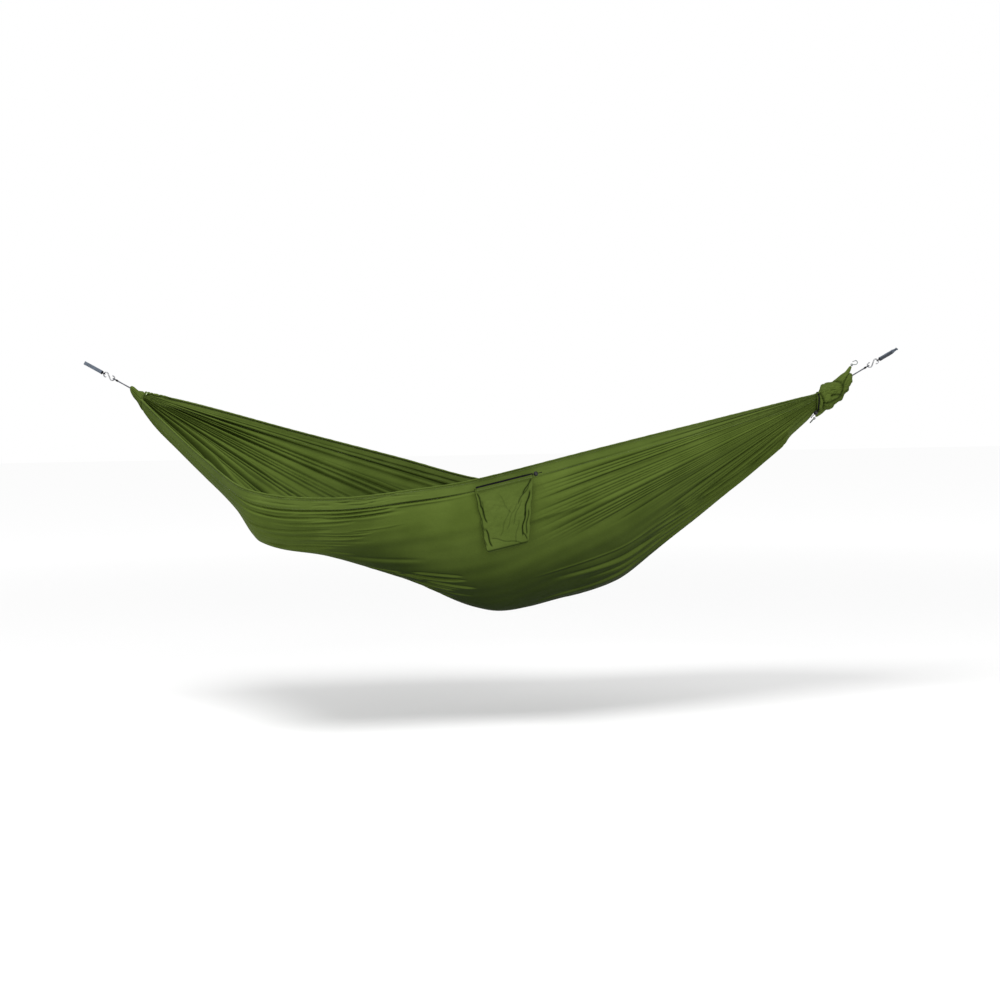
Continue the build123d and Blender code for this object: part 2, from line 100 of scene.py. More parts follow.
# ---- materials -----------------------------------------------------------------------
class Shader:
    """A node material with one Principled shader and helpers to add nodes to it."""

    def __init__(self, name, roughness=0.5, metallic=0.0, sheen=0.0, specular=0.5, coat=0.0):
        self.material = bpy.data.materials.new(name)
        self.material.use_nodes = True
        self.tree = self.material.node_tree
        self.tree.nodes.clear()
        out = self.node("OutputMaterial")
        self.surface = self.node("BsdfPrincipled", **{
            "Roughness": roughness, "Metallic": metallic, "Sheen Weight": sheen,
            "Sheen Roughness": 0.45, "Specular IOR Level": specular, "Coat Weight": coat})
        self.link(self.surface, "BSDF", out, "Surface")
        self.height = None

    def link(self, a, a_socket, b, b_socket):
        self.tree.links.new(a.outputs[a_socket], b.inputs[b_socket])

    def node(self, kind, **values):
        made = self.tree.nodes.new("ShaderNode" + kind)
        for key, value in values.items():
            if key in made.inputs:
                made.inputs[key].default_value = value
            else:
                setattr(made, key, value)
        return made

    def coordinate(self, kind, scale=(1, 1, 1)):
        """Object coordinates in metres, or the UV map, stretched by the scale."""
        source = self.node("TexCoord")
        mapping = self.node("Mapping", Scale=scale)
        self.link(source, kind, mapping, "Vector")
        return mapping

    def noise(self, scale, detail, stretch=(1, 1, 1)):
        made = self.node("TexNoise", Scale=scale, Detail=detail)
        self.link(self.coordinate("Object", stretch), "Vector", made, "Vector")
        return made

    def bands(self, count, direction, kind="UV"):
        made = self.node("TexWave", Scale=count / 3.1416, bands_direction=direction)
        self.link(self.coordinate(kind), "Vector", made, "Vector")
        return made

    def colour(self, low, high, source, span=(0.3, 0.7)):
        """Base colour that runs between two colours with a texture."""
        steps = self.node("ValToRGB")
        for stop, position, colour in zip(steps.color_ramp.elements, span, (low, high)):
            stop.position, stop.color = position, (*colour, 1)
        self.link(source, "Fac", steps, "Fac")
        self.link(steps, "Color", self.surface, "Base Color")
        return steps

    def shade_by(self, colour, attribute, dark):
        """Darkens the colour where a point attribute is high: painted shade."""
        value = self.node("Attribute", attribute_name=attribute)
        mix = self.node("Mix", data_type="RGBA", blend_type="MULTIPLY")
        mix.inputs[7].default_value = (*dark, 1)
        self.link(value, "Fac", mix, "Factor")
        self.tree.links.new(colour.outputs["Color"], mix.inputs[6])
        self.tree.links.new(mix.outputs[2], self.surface.inputs["Base Color"])

    def bump(self, source, strength, distance):
        made = self.node("Bump", Strength=strength, Distance=distance)
        self.link(source, "Fac", made, "Height")
        if self.height is not None:
            self.link(self.height, "Normal", made, "Normal")
        self.height = made
        self.link(made, "Normal", self.surface, "Normal")

    def rough(self, low, high, source):
        made = self.node("MapRange", **{"To Min": low, "To Max": high})
        self.link(source, "Fac", made, "Value")
        self.link(made, "Result", self.surface, "Roughness")


def taffeta(name, low, high, crinkle=0.35):
    """Plain-woven nylon: fine threads both ways, small crinkles, uneven shine and tone, darkened by painted
    shade from the fold point attribute.
    """
    s = Shader(name, specular=0.05)
    # painted shade: the colour is darkened towards this tint where the fold point attribute is high
    s.shade_by(s.colour(low, high, s.noise(7, 5)), "fold", (0.12, 0.16, 0.05))
    s.bump(s.noise(38, 4, (0.35, 1, 1)), crinkle, 0.006)
    s.bump(s.noise(210, 3), 0.30, 0.0012)
    s.bump(s.bands(1800, "X"), 0.12, 0.0001)
    s.bump(s.bands(1800, "Y"), 0.12, 0.0001)
    s.rough(0.62, 0.84, s.noise(55, 2))
    return s.material


def webbing(name, low, high, shine=0.2):
    """Flat woven strap: ribs across, chevron ground, fuzzy edges of tone."""
    s = Shader(name, specular=shine)
    s.colour(low, high, s.noise(420, 3), span=(0.35, 0.65))
    s.bump(s.bands(900, "X"), 0.55, 0.0004)
    s.bump(s.bands(1500, "DIAGONAL"), 0.35, 0.0002)
    s.rough(0.55, 0.8, s.noise(300, 2))
    return s.material


def braid(name, low, high, count=520, shine=0.15):
    """Braided cord: two diagonal sets of strands over the tube."""
    s = Shader(name, specular=shine)
    s.colour(low, high, s.noise(900, 2), span=(0.35, 0.65))
    s.bump(s.bands(count, "DIAGONAL"), 0.6, 0.0004)
    s.bump(s.noise(1500, 2), 0.25, 0.0001)
    s.rough(0.5, 0.75, s.noise(500, 2))
    return s.material


def metal(name, low, high, roughness=(0.14, 0.30), coat=0.0):
    """Drawn wire: fine lengthwise scratches, worn patches."""
    s = Shader(name, metallic=1.0, coat=coat)
    s.colour(low, high, s.noise(160, 4), span=(0.35, 0.65))
    s.bump(s.noise(900, 3, (0.2, 1, 1)), 0.12, 0.0001)
    s.rough(*roughness, s.noise(240, 3))
    return s.material


def plastic(name, low, high):
    """Moulded nylon with a fine spark-eroded grain."""
    s = Shader(name, specular=0.12)
    s.colour(low, high, s.noise(120, 4))
    s.bump(s.noise(2200, 2), 0.22, 0.0001)
    s.rough(0.32, 0.5, s.noise(260, 3))
    return s.material


def thread(name, low, high):
    s = Shader(name, sheen=0.3, specular=0.4)
    s.colour(low, high, s.noise(700, 2))
    s.bump(s.bands(6000, "DIAGONAL", "Object"), 0.4, 0.0001)
    s.rough(0.4, 0.6, s.noise(500, 1))
    return s.material


GREEN_LOW, GREEN_HIGH = (0.050, 0.075, 0.0105), (0.066, 0.096, 0.0155)
cloth_green = taffeta("green_taffeta", GREEN_LOW, GREEN_HIGH)
band_green = taffeta("green_taffeta_band", (0.050, 0.075, 0.0115), (0.067, 0.096, 0.0175), 0.5)
sleeve_green = taffeta("green_taffeta_sleeve", (0.044, 0.066, 0.0092), (0.064, 0.092, 0.0160), 0.55)
light_thread = thread("green_thread", (0.34, 0.44, 0.22), (0.50, 0.60, 0.36))
seam_thread = thread("seam_thread", (0.030, 0.046, 0.010), (0.052, 0.075, 0.018))
rope_grey = braid("dark_rope", (0.045, 0.048, 0.055), (0.10, 0.105, 0.12))
black_web = webbing("black_webbing", (0.004, 0.004, 0.005), (0.014, 0.014, 0.016), 0.04)
grey_web = webbing("grey_webbing", (0.060, 0.073, 0.094), (0.105, 0.125, 0.155))
dark_web = webbing("dark_webbing", (0.018, 0.022, 0.028), (0.040, 0.046, 0.056))
steel = metal("bright_steel", (0.15, 0.155, 0.16), (0.36, 0.36, 0.37), (0.22, 0.38))
wire_green = metal("green_wire", (0.045, 0.065, 0.055), (0.16, 0.19, 0.17), (0.28, 0.42), 0.3)
spring_steel = metal("spring_steel", (0.42, 0.42, 0.43), (0.60, 0.60, 0.60))
black_cord = braid("black_cord", (0.002, 0.002, 0.002), (0.008, 0.008, 0.008), 900, 0.03)
black_plastic = plastic("black_plastic", (0.003, 0.003, 0.003), (0.009, 0.009, 0.010))
grey_plastic = plastic("grey_plastic", (0.012, 0.012, 0.013), (0.028, 0.028, 0.030))
elastic_black = webbing("black_elastic", (0.002, 0.002, 0.002), (0.008, 0.008, 0.009), 0.03)
seam_dark = thread("dark_thread", (0.02, 0.024, 0.03), (0.045, 0.05, 0.06))


def paint(thing, material):
    thing.data.materials.clear()
    thing.data.materials.append(material)
    return thing


for node, material in {
    "left_s_hook": steel, "right_s_hook": steel,
    "pocket_lock_body": black_plastic, "sleeve_lock_body": black_plastic,
    "pocket_lock_button": grey_plastic, "sleeve_lock_button": grey_plastic,
    "pocket_lock_spring": spring_steel, "sleeve_lock_spring": spring_steel,
    "upper_hook": wire_green, "lower_hook": wire_green,
    "upper_hook_loop": black_cord, "lower_hook_loop": black_cord,
}.items():
    paint(nodes[node], material)


# ---- mesh helpers --------------------------------------------------------------------
def ramp(a, b, t):
    """0 before a, 1 after b, smooth between."""
    t = np.clip((np.asarray(t, float) - a) / (b - a), 0, 1)
    return t * t * (3 - 2 * t)


def window(a, b, c, d, t):
    return ramp(a, b, t) * (1 - ramp(c, d, t))


def add_mesh(name, points, faces, material, uvs=None, fold=None):
    mesh = bpy.data.meshes.new(name)
    mesh.from_pydata([tuple(p) for p in points], [], [tuple(f) for f in faces])
    mesh.polygons.foreach_set("use_smooth", [True] * len(mesh.polygons))
    if uvs is not None:
        layer = mesh.uv_layers.new(name="flat")
        corners = np.empty(len(mesh.loops), np.int32)
        mesh.loops.foreach_get("vertex_index", corners)
        layer.data.foreach_set("uv", np.asarray(uvs, np.float32).reshape(-1, 2)[corners].ravel())
    # the fold point attribute holds painted shade, which the cloth materials darken by
    if fold is not None:
        attribute = mesh.attributes.new("fold", "FLOAT", "POINT")
        attribute.data.foreach_set("value", np.asarray(fold, np.float32).ravel())
    mesh.validate()
    made = bpy.data.objects.new(name, mesh)
    bpy.context.scene.collection.objects.link(made)
    return paint(made, material)


def grid(name, points, material, uv, closed=False, fold=None, capped=False):
    """A mesh over a (rows, columns, 3) array; closed joins the last column to the first."""
    rows, columns = points.shape[:2]
    r, c = np.meshgrid(np.arange(rows - 1), np.arange(columns - (not closed)), indexing="ij")
    across = (c + 1) % columns
    faces = np.stack([
        r * columns + c, r * columns + across, (r + 1) * columns + across, (r + 1) * columns + c,
    ], -1).reshape(-1, 4).tolist()
    if capped:
        faces += [list(range(columns))[::-1], list(range((rows - 1) * columns, rows * columns))]
    return add_mesh(name, points.reshape(-1, 3), faces, material, uv, fold)


def frames_along(path, up):
    """Side and up at each point of a path, with up kept near the given way."""
    path = np.asarray(path, float)
    tangent = np.gradient(path, axis=0)
    tangent /= np.linalg.norm(tangent, axis=1, keepdims=True)
    up = np.broadcast_to(np.asarray(up, float), path.shape)
    side = np.cross(tangent, up)
    side /= np.linalg.norm(side, axis=1, keepdims=True)
    return side, np.cross(side, tangent)


def sweep(name, path, profile, up, material, size=1.0, capped=True):
    """Sweeps a profile of (side, up) points along a path; size scales it at each point."""
    path = np.asarray(path, float)
    side, top = frames_along(path, up)
    profile = np.asarray(profile, float)
    if profile.ndim == 2:
        profile = np.broadcast_to(profile, (len(path), *profile.shape))
    size = np.broadcast_to(np.asarray(size, float), len(path))[:, None, None]
    points = (
        path[:, None] + size * profile[..., :1] * side[:, None]
        + size * profile[..., 1:] * top[:, None]
    )
    uv = np.stack(np.meshgrid(run_along(path), run_along(profile[0]), indexing="ij"), -1)
    return grid(name, points, material, uv, True, capped=capped)


def unit(v):
    v = np.asarray(v, float)
    return v / np.linalg.norm(v)


def circle(radius, count):
    angle = np.arange(count) * 2 * math.pi / count
    return np.stack([radius * np.cos(angle), radius * np.sin(angle)], 1)


def run_along(path):
    """Distance from a path's first point to each of its points."""
    return np.r_[0, np.cumsum(np.linalg.norm(np.diff(path, axis=0), axis=1))]


def at_runs(runs, run, values):
    """Values along a path, read off at the given runs."""
    return np.stack([np.interp(runs, run, values[:, a]) for a in range(3)], 1)


def hangs(made, *nodes):
    """The piece stands for these CAD nodes and moves with the hammock."""
    if nodes:
        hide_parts(*nodes)
    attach(made, "hammock")


def strip_profile(width, thickness):
    """A flat strap's section with rounded edges."""
    w, t = width / 2, thickness / 2
    return np.array([
        (-w + t, -t), (-w / 2, -t * 1.04), (0, -t), (w / 2, -t * 1.04), (w - t, -t), (w - t / 3, -t * 0.7),
        (w, 0), (w - t / 3, t * 0.7), (w - t, t), (w / 2, t * 1.04), (0, t), (-w / 2, t * 1.04),
        (-w + t, t), (-w + t / 3, t * 0.7), (-w, 0), (-w + t / 3, -t * 0.7),
    ])


def smooth_path(points, count):
    """A Catmull-Rom line through the points."""
    p = np.asarray(points, float)
    p = np.vstack([2 * p[0] - p[1], p, 2 * p[-1] - p[-2]])
    t = np.linspace(0, len(p) - 3 - 1e-9, count)
    i = t.astype(int)
    u = (t - i)[:, None]
    a, b, c, d = p[i], p[i + 1], p[i + 2], p[i + 3]
    return 0.5 * (
        2 * b + (c - a) * u + (2 * a - 5 * b + 4 * c - d) * u**2
        + (3 * b - a - 3 * c + d) * u**3
    )


def stitches(name, places, ways, ups, material, length, radius=0.35 * MM):
    """One mesh of short raised threads: places, directions and outward ways are arrays."""
    places, ways, ups = (np.asarray(a, float).reshape(-1, 3) for a in (places, ways, ups))
    ways = ways / np.linalg.norm(ways, axis=1, keepdims=True)
    side = np.cross(ways, ups)
    side /= np.linalg.norm(side, axis=1, keepdims=True)
    ups = np.cross(side, ways)
    along = np.array([-0.5, -0.3, 0.3, 0.5]) * length
    lift = np.array([-0.6, 0.9, 0.9, -0.6]) * radius
    wide = np.array([0.5, 1.0, 1.0, 0.5]) * radius
    ring = np.array([(-1, 0), (0, 1), (1, 0), (0, -1)], float)
    rows = [places + a * ways + w * u * side + (z + w * v) * ups
            for a, z, w in zip(along, lift, wide) for u, v in ring]
    points = np.stack(rows, 1).reshape(-1, 3)
    faces = [(k + j, k + (j + 1) % 4, k + 4 + (j + 1) % 4, k + 4 + j)
             for k in (0, 4, 8) for j in range(4)]
    faces += [(3, 2, 1, 0), (12, 13, 14, 15)]
    every = (np.array(faces)[None] + 16 * np.arange(len(places))[:, None, None]).reshape(-1, 4)
    return add_mesh(name, points, every, material)


def soft_noise(p, scale, seed, octaves):
    """Smooth noise in -1..1 at the points, from sums of turned sines."""
    local = np.random.default_rng(seed)
    total, size = np.zeros(p.shape[:-1]), 0.0
    for octave in range(octaves):
        gain = 0.5**octave
        for _ in range(4):
            way = local.normal(size=p.shape[-1])
            way *= scale * 2**octave * local.uniform(0.7, 1.3) / np.linalg.norm(way)
            total += gain * np.sin(p @ way * 2 * math.pi + local.uniform(0, 6.28))
            size += gain * 0.5
    return total / size


# ---- the cloth's shape, the same guide lines as the CAD ------------------------------
FRONT_RIM = [
    (198, -26, -124), (340, -170, -240), (495, -330, -355), (675, -520, -455),
    (940, -480, -490), (1245, -410, -467), (1430, -380, -440), (1870, -290, -340),
    (2310, -160, -243), (2615, -60, -176), (2690, -14, -159), (2787, -11, -114),
]
KEEL = [
    (198, -5, -160), (265, -60, -238), (360, -130, -322), (470, -215, -418),
    (600, -320, -532), (690, -385, -640), (920, -330, -700), (1155, -220, -788),
    (1475, -60, -928), (1735, 40, -900), (1945, 90, -845), (2080, 110, -750),
    (2410, 60, -472), (2650, 12, -260), (2690, 2, -214), (2787, 0, -140),
]
BACK_RIM = [
    (198, 14, -108), (405, 90, -163), (760, 200, -271), (1135, 290, -379),
    (1420, 330, -463), (1755, 400, -515), (2110, 440, -510), (2380, 350, -405),
    (2580, 150, -270), (2690, 14, -162), (2787, 11, -116),
]
RIM_DROP, RIM_BULGE, BELLY_SPREAD = 0.55, 0.08, 0.50
SECTION_STEPS = 80
CLOTH_FROM, CLOTH_TO = 0.198, 2.787
BAND = 0.036
BAND_SHARE = 0.14
CLOTH_WIDTH, CLOTH_LENGTH = 1.40, 3.20      # cut size, before gathering
HANG_SHARE = 0.83         # length between the gathers over the cut length


def guide(points, x):
    """(y, z) along a guide line at each x, smooth through its points."""
    p = np.array(points, float) * MM
    last = len(p) - 1
    k = np.arange(last + 1)
    before, after = np.maximum(k - 1, 0), np.minimum(k + 1, last)
    slope = (p[after, 1:] - p[before, 1:]) / (p[after, 0] - p[before, 0])[:, None]
    i = np.clip(np.searchsorted(p[:, 0], x, side="right") - 1, 0, last - 1)
    span = (p[i + 1, 0] - p[i, 0])[:, None]
    t = (np.asarray(x) - p[i, 0])[:, None] / span
    return (
        (2 * t**3 - 3 * t**2 + 1) * p[i, 1:] + (t**3 - 2 * t**2 + t) * span * slope[i]
        + (3 * t**2 - 2 * t**3) * p[i + 1, 1:] + (t**3 - t**2) * span * slope[i + 1]
    )


def half_section(rim, keel):
    """One wall's curve from rim to keel at each station: a cubic with four control points."""
    depth = rim[:, 1] - keel[:, 1]
    outward = np.where(rim[:, 0] > keel[:, 0], 1, -1)
    below_rim = np.stack([
        rim[:, 0] + outward * RIM_BULGE * depth, rim[:, 1] - RIM_DROP * depth], 1)
    beside_keel = np.stack([keel[:, 0] + BELLY_SPREAD * (rim[:, 0] - keel[:, 0]), keel[:, 1]], 1)
    t = np.linspace(0, 1, SECTION_STEPS + 1)[None, :, None]
    u = 1 - t
    return (
        u**3 * rim[:, None] + 3 * u * u * t * below_rim[:, None]
        + 3 * u * t * t * beside_keel[:, None] + t**3 * keel[:, None]
    )


def base_cloth(x, v):
    """Points (x, v, 3) of the cloth: v is the share of the way round from front to back rim."""
    front, keel, back = (guide(g, x) for g in (FRONT_RIM, KEEL, BACK_RIM))
    line = np.concatenate(
        [half_section(front, keel), half_section(back, keel)[:, -2::-1]], axis=1)
    step = np.linalg.norm(np.diff(line, axis=1), axis=2)
    run = np.concatenate([np.zeros((len(x), 1)), np.cumsum(step, axis=1)], axis=1)
    total = run[:, -1]
    points = np.empty((len(x), len(v), 3))
    for k in range(len(x)):
        points[k, :, 0] = x[k]
        points[k, :, 1] = np.interp(v * total[k], run[k], line[k, :, 0])
        points[k, :, 2] = np.interp(v * total[k], run[k], line[k, :, 1])
    return points, total


def normals_of(points):
    """Unit normals of a grid, into the hollow."""
    n = np.cross(np.gradient(points, axis=0), np.gradient(points, axis=1))
    return n / np.linalg.norm(n, axis=2, keepdims=True)


def ridge(phase, sharpness):
    """0 in narrow valleys at whole numbers, 1 on broad rounded ridges between them."""
    return (np.sin(math.pi * phase) ** 2 + 0.008) ** (sharpness / 2)


def per_fold(phase, seed, low, high):
    """A steady random factor for each fold."""
    table = np.random.default_rng(seed).uniform(low, high, 400)
    return table[np.floor(phase).astype(int) % 400]


ROWS = 640
FINE_TO, FINE_COLUMNS, COARSE_COLUMNS = 0.36, 300, 310
s = np.linspace(0, 1, ROWS)
stations = CLOTH_FROM + (CLOTH_TO - CLOTH_FROM) * (s - 0.72 * np.sin(2 * math.pi * s) / (2 * math.pi))
across = np.r_[
    np.linspace(0, FINE_TO, FINE_COLUMNS, endpoint=False), np.linspace(FINE_TO, 1, COARSE_COLUMNS)]
surface, arc = base_cloth(stations, across)
inward = normals_of(surface)
X = stations[:, None] + 0 * across[None]
V = across[None] + 0 * stations[:, None]
ARC = arc[:, None] + 0 * V
band_share = np.minimum(BAND / ARC, BAND_SHARE)

# how deep folds must be, over their spacing, to take up the whole width of the cloth
GATHER = np.clip(0.5 * np.sqrt(np.maximum((CLOTH_WIDTH / ARC) ** 2 - 1, 0)), 0, 1.9)
near_left, near_right = 1 - ramp(0.34, 1.10, X), ramp(1.95, 2.50, X)
away_from_rim = np.minimum(V, 1 - V)
band_fade = np.maximum(
    ramp(0.35 * band_share, 1.1 * band_share, away_from_rim),
    np.maximum(1 - ramp(0.22, 0.34, X), ramp(2.55, 2.70, X)))


def fan_angle(tip):
    """Degrees below the level, about a tip (x, z), of each place as the camera sees it."""
    scale = CAMERA_PLACE[1] / (CAMERA_PLACE[1] - surface[..., 1])
    seen_x = CAMERA_PLACE[0] + (surface[..., 0] - CAMERA_PLACE[0]) * scale
    seen_z = CAMERA_PLACE[2] + (surface[..., 2] - CAMERA_PLACE[2]) * scale
    return np.degrees(np.arctan2(tip[1] - seen_z, np.abs(seen_x - tip[0])))


def fold_spacing(phase):
    """Distance between neighbouring folds; it falls off again where they run too far apart."""
    turns = np.abs(np.gradient(phase, axis=1) / np.gradient(V, axis=1))
    true = ARC / np.maximum(turns, 1e-6)
    return np.minimum(true, WIDEST_FOLD**4 / true**3)


def valley(phase, seed, above, below):
    """Painted shade round each valley: it reaches further on the side that faces down."""
    part = phase - np.floor(phase)
    return per_fold(phase, seed, 0.35, 1.0) * np.maximum(1 - ramp(0, below, part), ramp(1 - above, 1, part))


WIDEST_FOLD = 0.040
wall_back = ramp(0.45, 0.53, V)
under_side = ramp(0.30, 0.46, V)

# pleats of the back wall run straight out of the left end
LEFT_FAN, LEFT_STEP = (0.175, -0.105), 1.55
left_fan = fan_angle(LEFT_FAN) / LEFT_STEP
left_fan = left_fan + 0.35 * np.sin(1.7 * left_fan) + 0.3 * np.sin(0.61 * left_fan + 1.0)
pleat_depth = wall_back * fold_spacing(left_fan) * band_fade * np.maximum(
    (1 - ramp(1.15, 1.75, X)) * 0.46, near_left * GATHER * 1.6)
move = pleat_depth * (per_fold(left_fan, 3, 0.55, 1.25) * ridge(left_fan, 0.55) - 0.55)
# painted shade on the lower side of each pleat's valley
shade = valley(left_fan, 13, 0.50, 0.12) * np.clip(pleat_depth / 0.005, 0, 1)

# fine folds of the front wall fan straight out of the right end
RIGHT_FAN, RIGHT_STEP = (2.76, -0.140), 0.95
right_fan = fan_angle(RIGHT_FAN) / RIGHT_STEP
right_fan = right_fan + 0.45 * np.sin(1.3 * right_fan) + 0.3 * np.sin(0.47 * right_fan)
upper_zone = window(0.022, 0.040, 0.17, 0.24, V) * ramp(1.58, 1.95, X) * 0.45
lower_zone = window(0.15, 0.20, 0.30, 0.38, V) * ramp(1.95, 2.45, X) * 0.40
fine_depth = fold_spacing(right_fan) * np.maximum(
    upper_zone + lower_zone, window(0.0, 0.02, 0.30, 0.38, V) * near_right * GATHER * 1.2)
move -= fine_depth * (per_fold(right_fan, 8, 0.15, 1.35) * ridge(right_fan, 0.5) - 0.55)
# painted shade in the valleys of the fine folds
shade = np.maximum(shade, valley(right_fan, 18, 0.30, 0.16) * np.clip(fine_depth / 0.004, 0, 1))

# broad gathers round both ends and along the right of the back wall
FOLDS = 38
drift = 0.22 * np.sin(2.1 * math.pi * X + 9 * V) + 0.16 * np.sin(4.7 * math.pi * X - 13 * V)
phase = FOLDS * V + drift * ramp(0.3, 0.9, X) * (1 - ramp(2.1, 2.7, X))
spacing = ARC / FOLDS
left_gather = near_left * (1 - wall_back) * (0.20 + 1.5 * under_side) * GATHER
right_gather = near_right * ramp(0.27, 0.36, V) * GATHER * 1.8
right_belly = window(0.34, 0.42, 0.60, 0.72, V) * ramp(1.70, 2.4, X) * 0.30
right_back = ramp(0.60, 0.75, V) * ramp(1.4, 2.1, X) * 0.40
depth_in = left_gather * spacing * band_fade
depth_out = np.maximum(right_gather, right_belly + right_back) * spacing * band_fade
move += depth_in * (per_fold(phase, 3, 0.45, 1.25) * ridge(phase, 0.42) - 0.55)
move -= depth_out * (per_fold(phase, 5, 0.45, 1.25) * ridge(phase, 0.45) - 0.55)
half_phase = 2.0 * phase + 0.3
half_depth = near_left * (1 - wall_back) * under_side * 0.34 + near_right * ramp(0.27, 0.36, V) * 0.30
move += half_depth * spacing * (ridge(half_phase, 0.7) - 0.6)
# painted shade in the valleys of the broad gathers
shade = np.maximum(shade, np.clip(1 - ridge(phase, 0.5) * 1.25, 0, 1) * np.clip(
    (depth_in + depth_out) / 0.008, 0, 1))

# no fold reaches further than the bunched end leaves room for
room = 0.003 + 0.055 * ARC
move = room * np.tanh(move / room)
move = np.maximum(move, -0.002 - 0.05 * (1 - ramp(2.48, 2.60, X)))

# soft unevenness everywhere
long_wise = np.stack([X * 1.1, V * 5.5], -1)
move += 0.0035 * soft_noise(long_wise, 1.0, 11, 3) * window(0.3, 0.7, 2.2, 2.6, X)


def crease(x0, v0, x1, v1, width, depth, bow):
    """A long shallow fold from (x0, v0) to (x1, v1); negative depth goes in from outside."""
    t = (X - x0) / (x1 - x0)
    line = v0 + (v1 - v0) * t + bow * 4 * t * (1 - t)
    away = (V - line) * ARC
    taper = np.clip(np.minimum(t, 1 - t) * 5, 0, 1) * (t > 0) * (t < 1)
    valley_part = np.exp(-(away / width) ** 2)
    swell_beside = 0.45 * np.exp(-((away - 2.2 * width) / (1.6 * width)) ** 2)
    return -depth * taper * (valley_part - swell_beside)


creases = [
    # the groove under the front band, then shallower ones below it
    (0.56, 0.050, 1.48, 0.030, 0.0030, -0.008, 0.0), (0.60, 0.072, 1.20, 0.056, 0.004, -0.004, 0.003),
    (0.62, 0.125, 0.95, 0.105, 0.004, -0.0045, 0.004), (0.68, 0.150, 1.05, 0.128, 0.005, -0.004, 0.0),
    (0.70, 0.205, 0.95, 0.180, 0.005, -0.007, 0.0), (0.78, 0.225, 1.02, 0.205, 0.006, -0.004, 0.0),
    # lines that run with the hem on the right
    (1.70, 0.360, 2.45, 0.400, 0.008, -0.006, 0.006), (1.80, 0.410, 2.55, 0.440, 0.007, -0.006, 0.006),
    (1.62, 0.450, 2.30, 0.470, 0.009, -0.005, 0.0),
]
for line in creases:
    move += crease(*line)


def crease_field(count, x_span, v_span, run_span, tilt, width_span, depth_span):
    """Many small creases with random places, lengths and depths."""
    for _ in range(count):
        x0, v0, run_x = rng.uniform(*x_span), rng.uniform(*v_span), rng.uniform(*run_span)
        yield crease(
            x0, v0, x0 + run_x, v0 + tilt * run_x + rng.uniform(-0.008, 0.008),
            rng.uniform(*width_span), rng.uniform(*depth_span), rng.uniform(-0.006, 0.006))


for field in (
    (34, (0.45, 2.2), (0.06, 0.94), (0.15, 0.55), 0.0, (0.004, 0.010), (-0.0030, 0.0030)),
    # puckers on and below the front band, and bunched lines low on the belly's left
    (26, (0.56, 1.20), (0.004, 0.030), (0.06, 0.22), -0.01, (0.0015, 0.0028), (-0.0022, 0.0008)),
    (34, (0.58, 1.00), (0.045, 0.220), (0.10, 0.32), -0.06, (0.0020, 0.0040), (-0.0032, 0.0010)),
    (30, (0.95, 1.24), (0.270, 0.400), (0.10, 0.26), 0.03, (0.0025, 0.0045), (-0.0050, 0.0010)),
):
    for small in crease_field(*field):
        move += small

edge_roll = np.exp(-((np.minimum(V, 1 - V) * ARC - 0.004) / 0.006) ** 2) * 0.002
surface = surface + inward * (move - edge_roll)[..., None]

# the last centimetres are drawn in under the bunched ends
TUCK_RUN, TUCK_SHARE = 0.024, 0.55
tuck_in = 1 - TUCK_SHARE * np.maximum(
    1 - ramp(CLOTH_FROM, CLOTH_FROM + TUCK_RUN, X), ramp(CLOTH_TO - TUCK_RUN, CLOTH_TO, X))
row_middle = surface.mean(axis=1, keepdims=True)
surface = row_middle + (surface - row_middle) * tuck_in[..., None]
normal_now = normals_of(surface)
# painted shade: darker where the cloth faces down, under the belly
faces_down = ramp(0.12, 0.92, normal_now[..., 2]) * window(0.6, 1.2, 2.1, 2.5, X)
shade = np.maximum(shade, 0.93 * faces_down)


def cloth_piece(name, low, high, material):
    """The part of the cloth between two shares of the way round, which vary along it."""
    t = across if name == "cloth_centre" else np.linspace(0, 1, BAND_COLUMNS)
    keep = len(t)
    points = np.empty((ROWS, keep, 3))
    fold = np.empty((ROWS, keep))
    flat = np.empty((ROWS, keep, 2))
    for k in range(ROWS):
        v = low[k] + (high[k] - low[k]) * t
        points[k] = at_runs(v, across, surface[k])
        # painted shade from the fold valleys and the underside, kept as the mesh's fold attribute
        fold[k] = np.interp(v, across, shade[k])
        flat[k, :, 0] = stations[k] / HANG_SHARE
        flat[k, :, 1] = v * CLOTH_WIDTH
    return grid(name, points, material, flat, fold=fold), points


BAND_COLUMNS = 29
share = np.minimum(BAND / arc, BAND_SHARE)
centre, centre_points = cloth_piece("cloth_centre", share, 1 - share, cloth_green)
front_band, front_points = cloth_piece("cloth_front_band", 0 * share, share, band_green)
back_band, back_points = cloth_piece("cloth_back_band", 1 - share, 1 + 0 * share, band_green)
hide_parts("centre_panel")
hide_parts("front_edge_band")
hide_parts("back_edge_band")


def rim_roll(name, column):
    """Rolled hem along a rim: a flattened tube with slight slubs."""
    path = surface[:, column]
    out = -normal_now[:, column]
    ring = circle(0.0026, 10)
    slub = 1 + 0.12 * np.sin(np.arange(ROWS) * 0.9) * np.sin(np.arange(ROWS) * 0.23)
    return sweep(name, path, ring * (1.0, 1.7), out, band_green, slub)


front_roll = rim_roll("front_rim_roll", 0)
back_roll = rim_roll("back_rim_roll", -1)


SEAM_PITCH, SEAM_STITCH, SEAM_ENDS, SEAM_LIFT = 5.5 * MM, 3.6 * MM, 50 * MM, 0.4 * MM


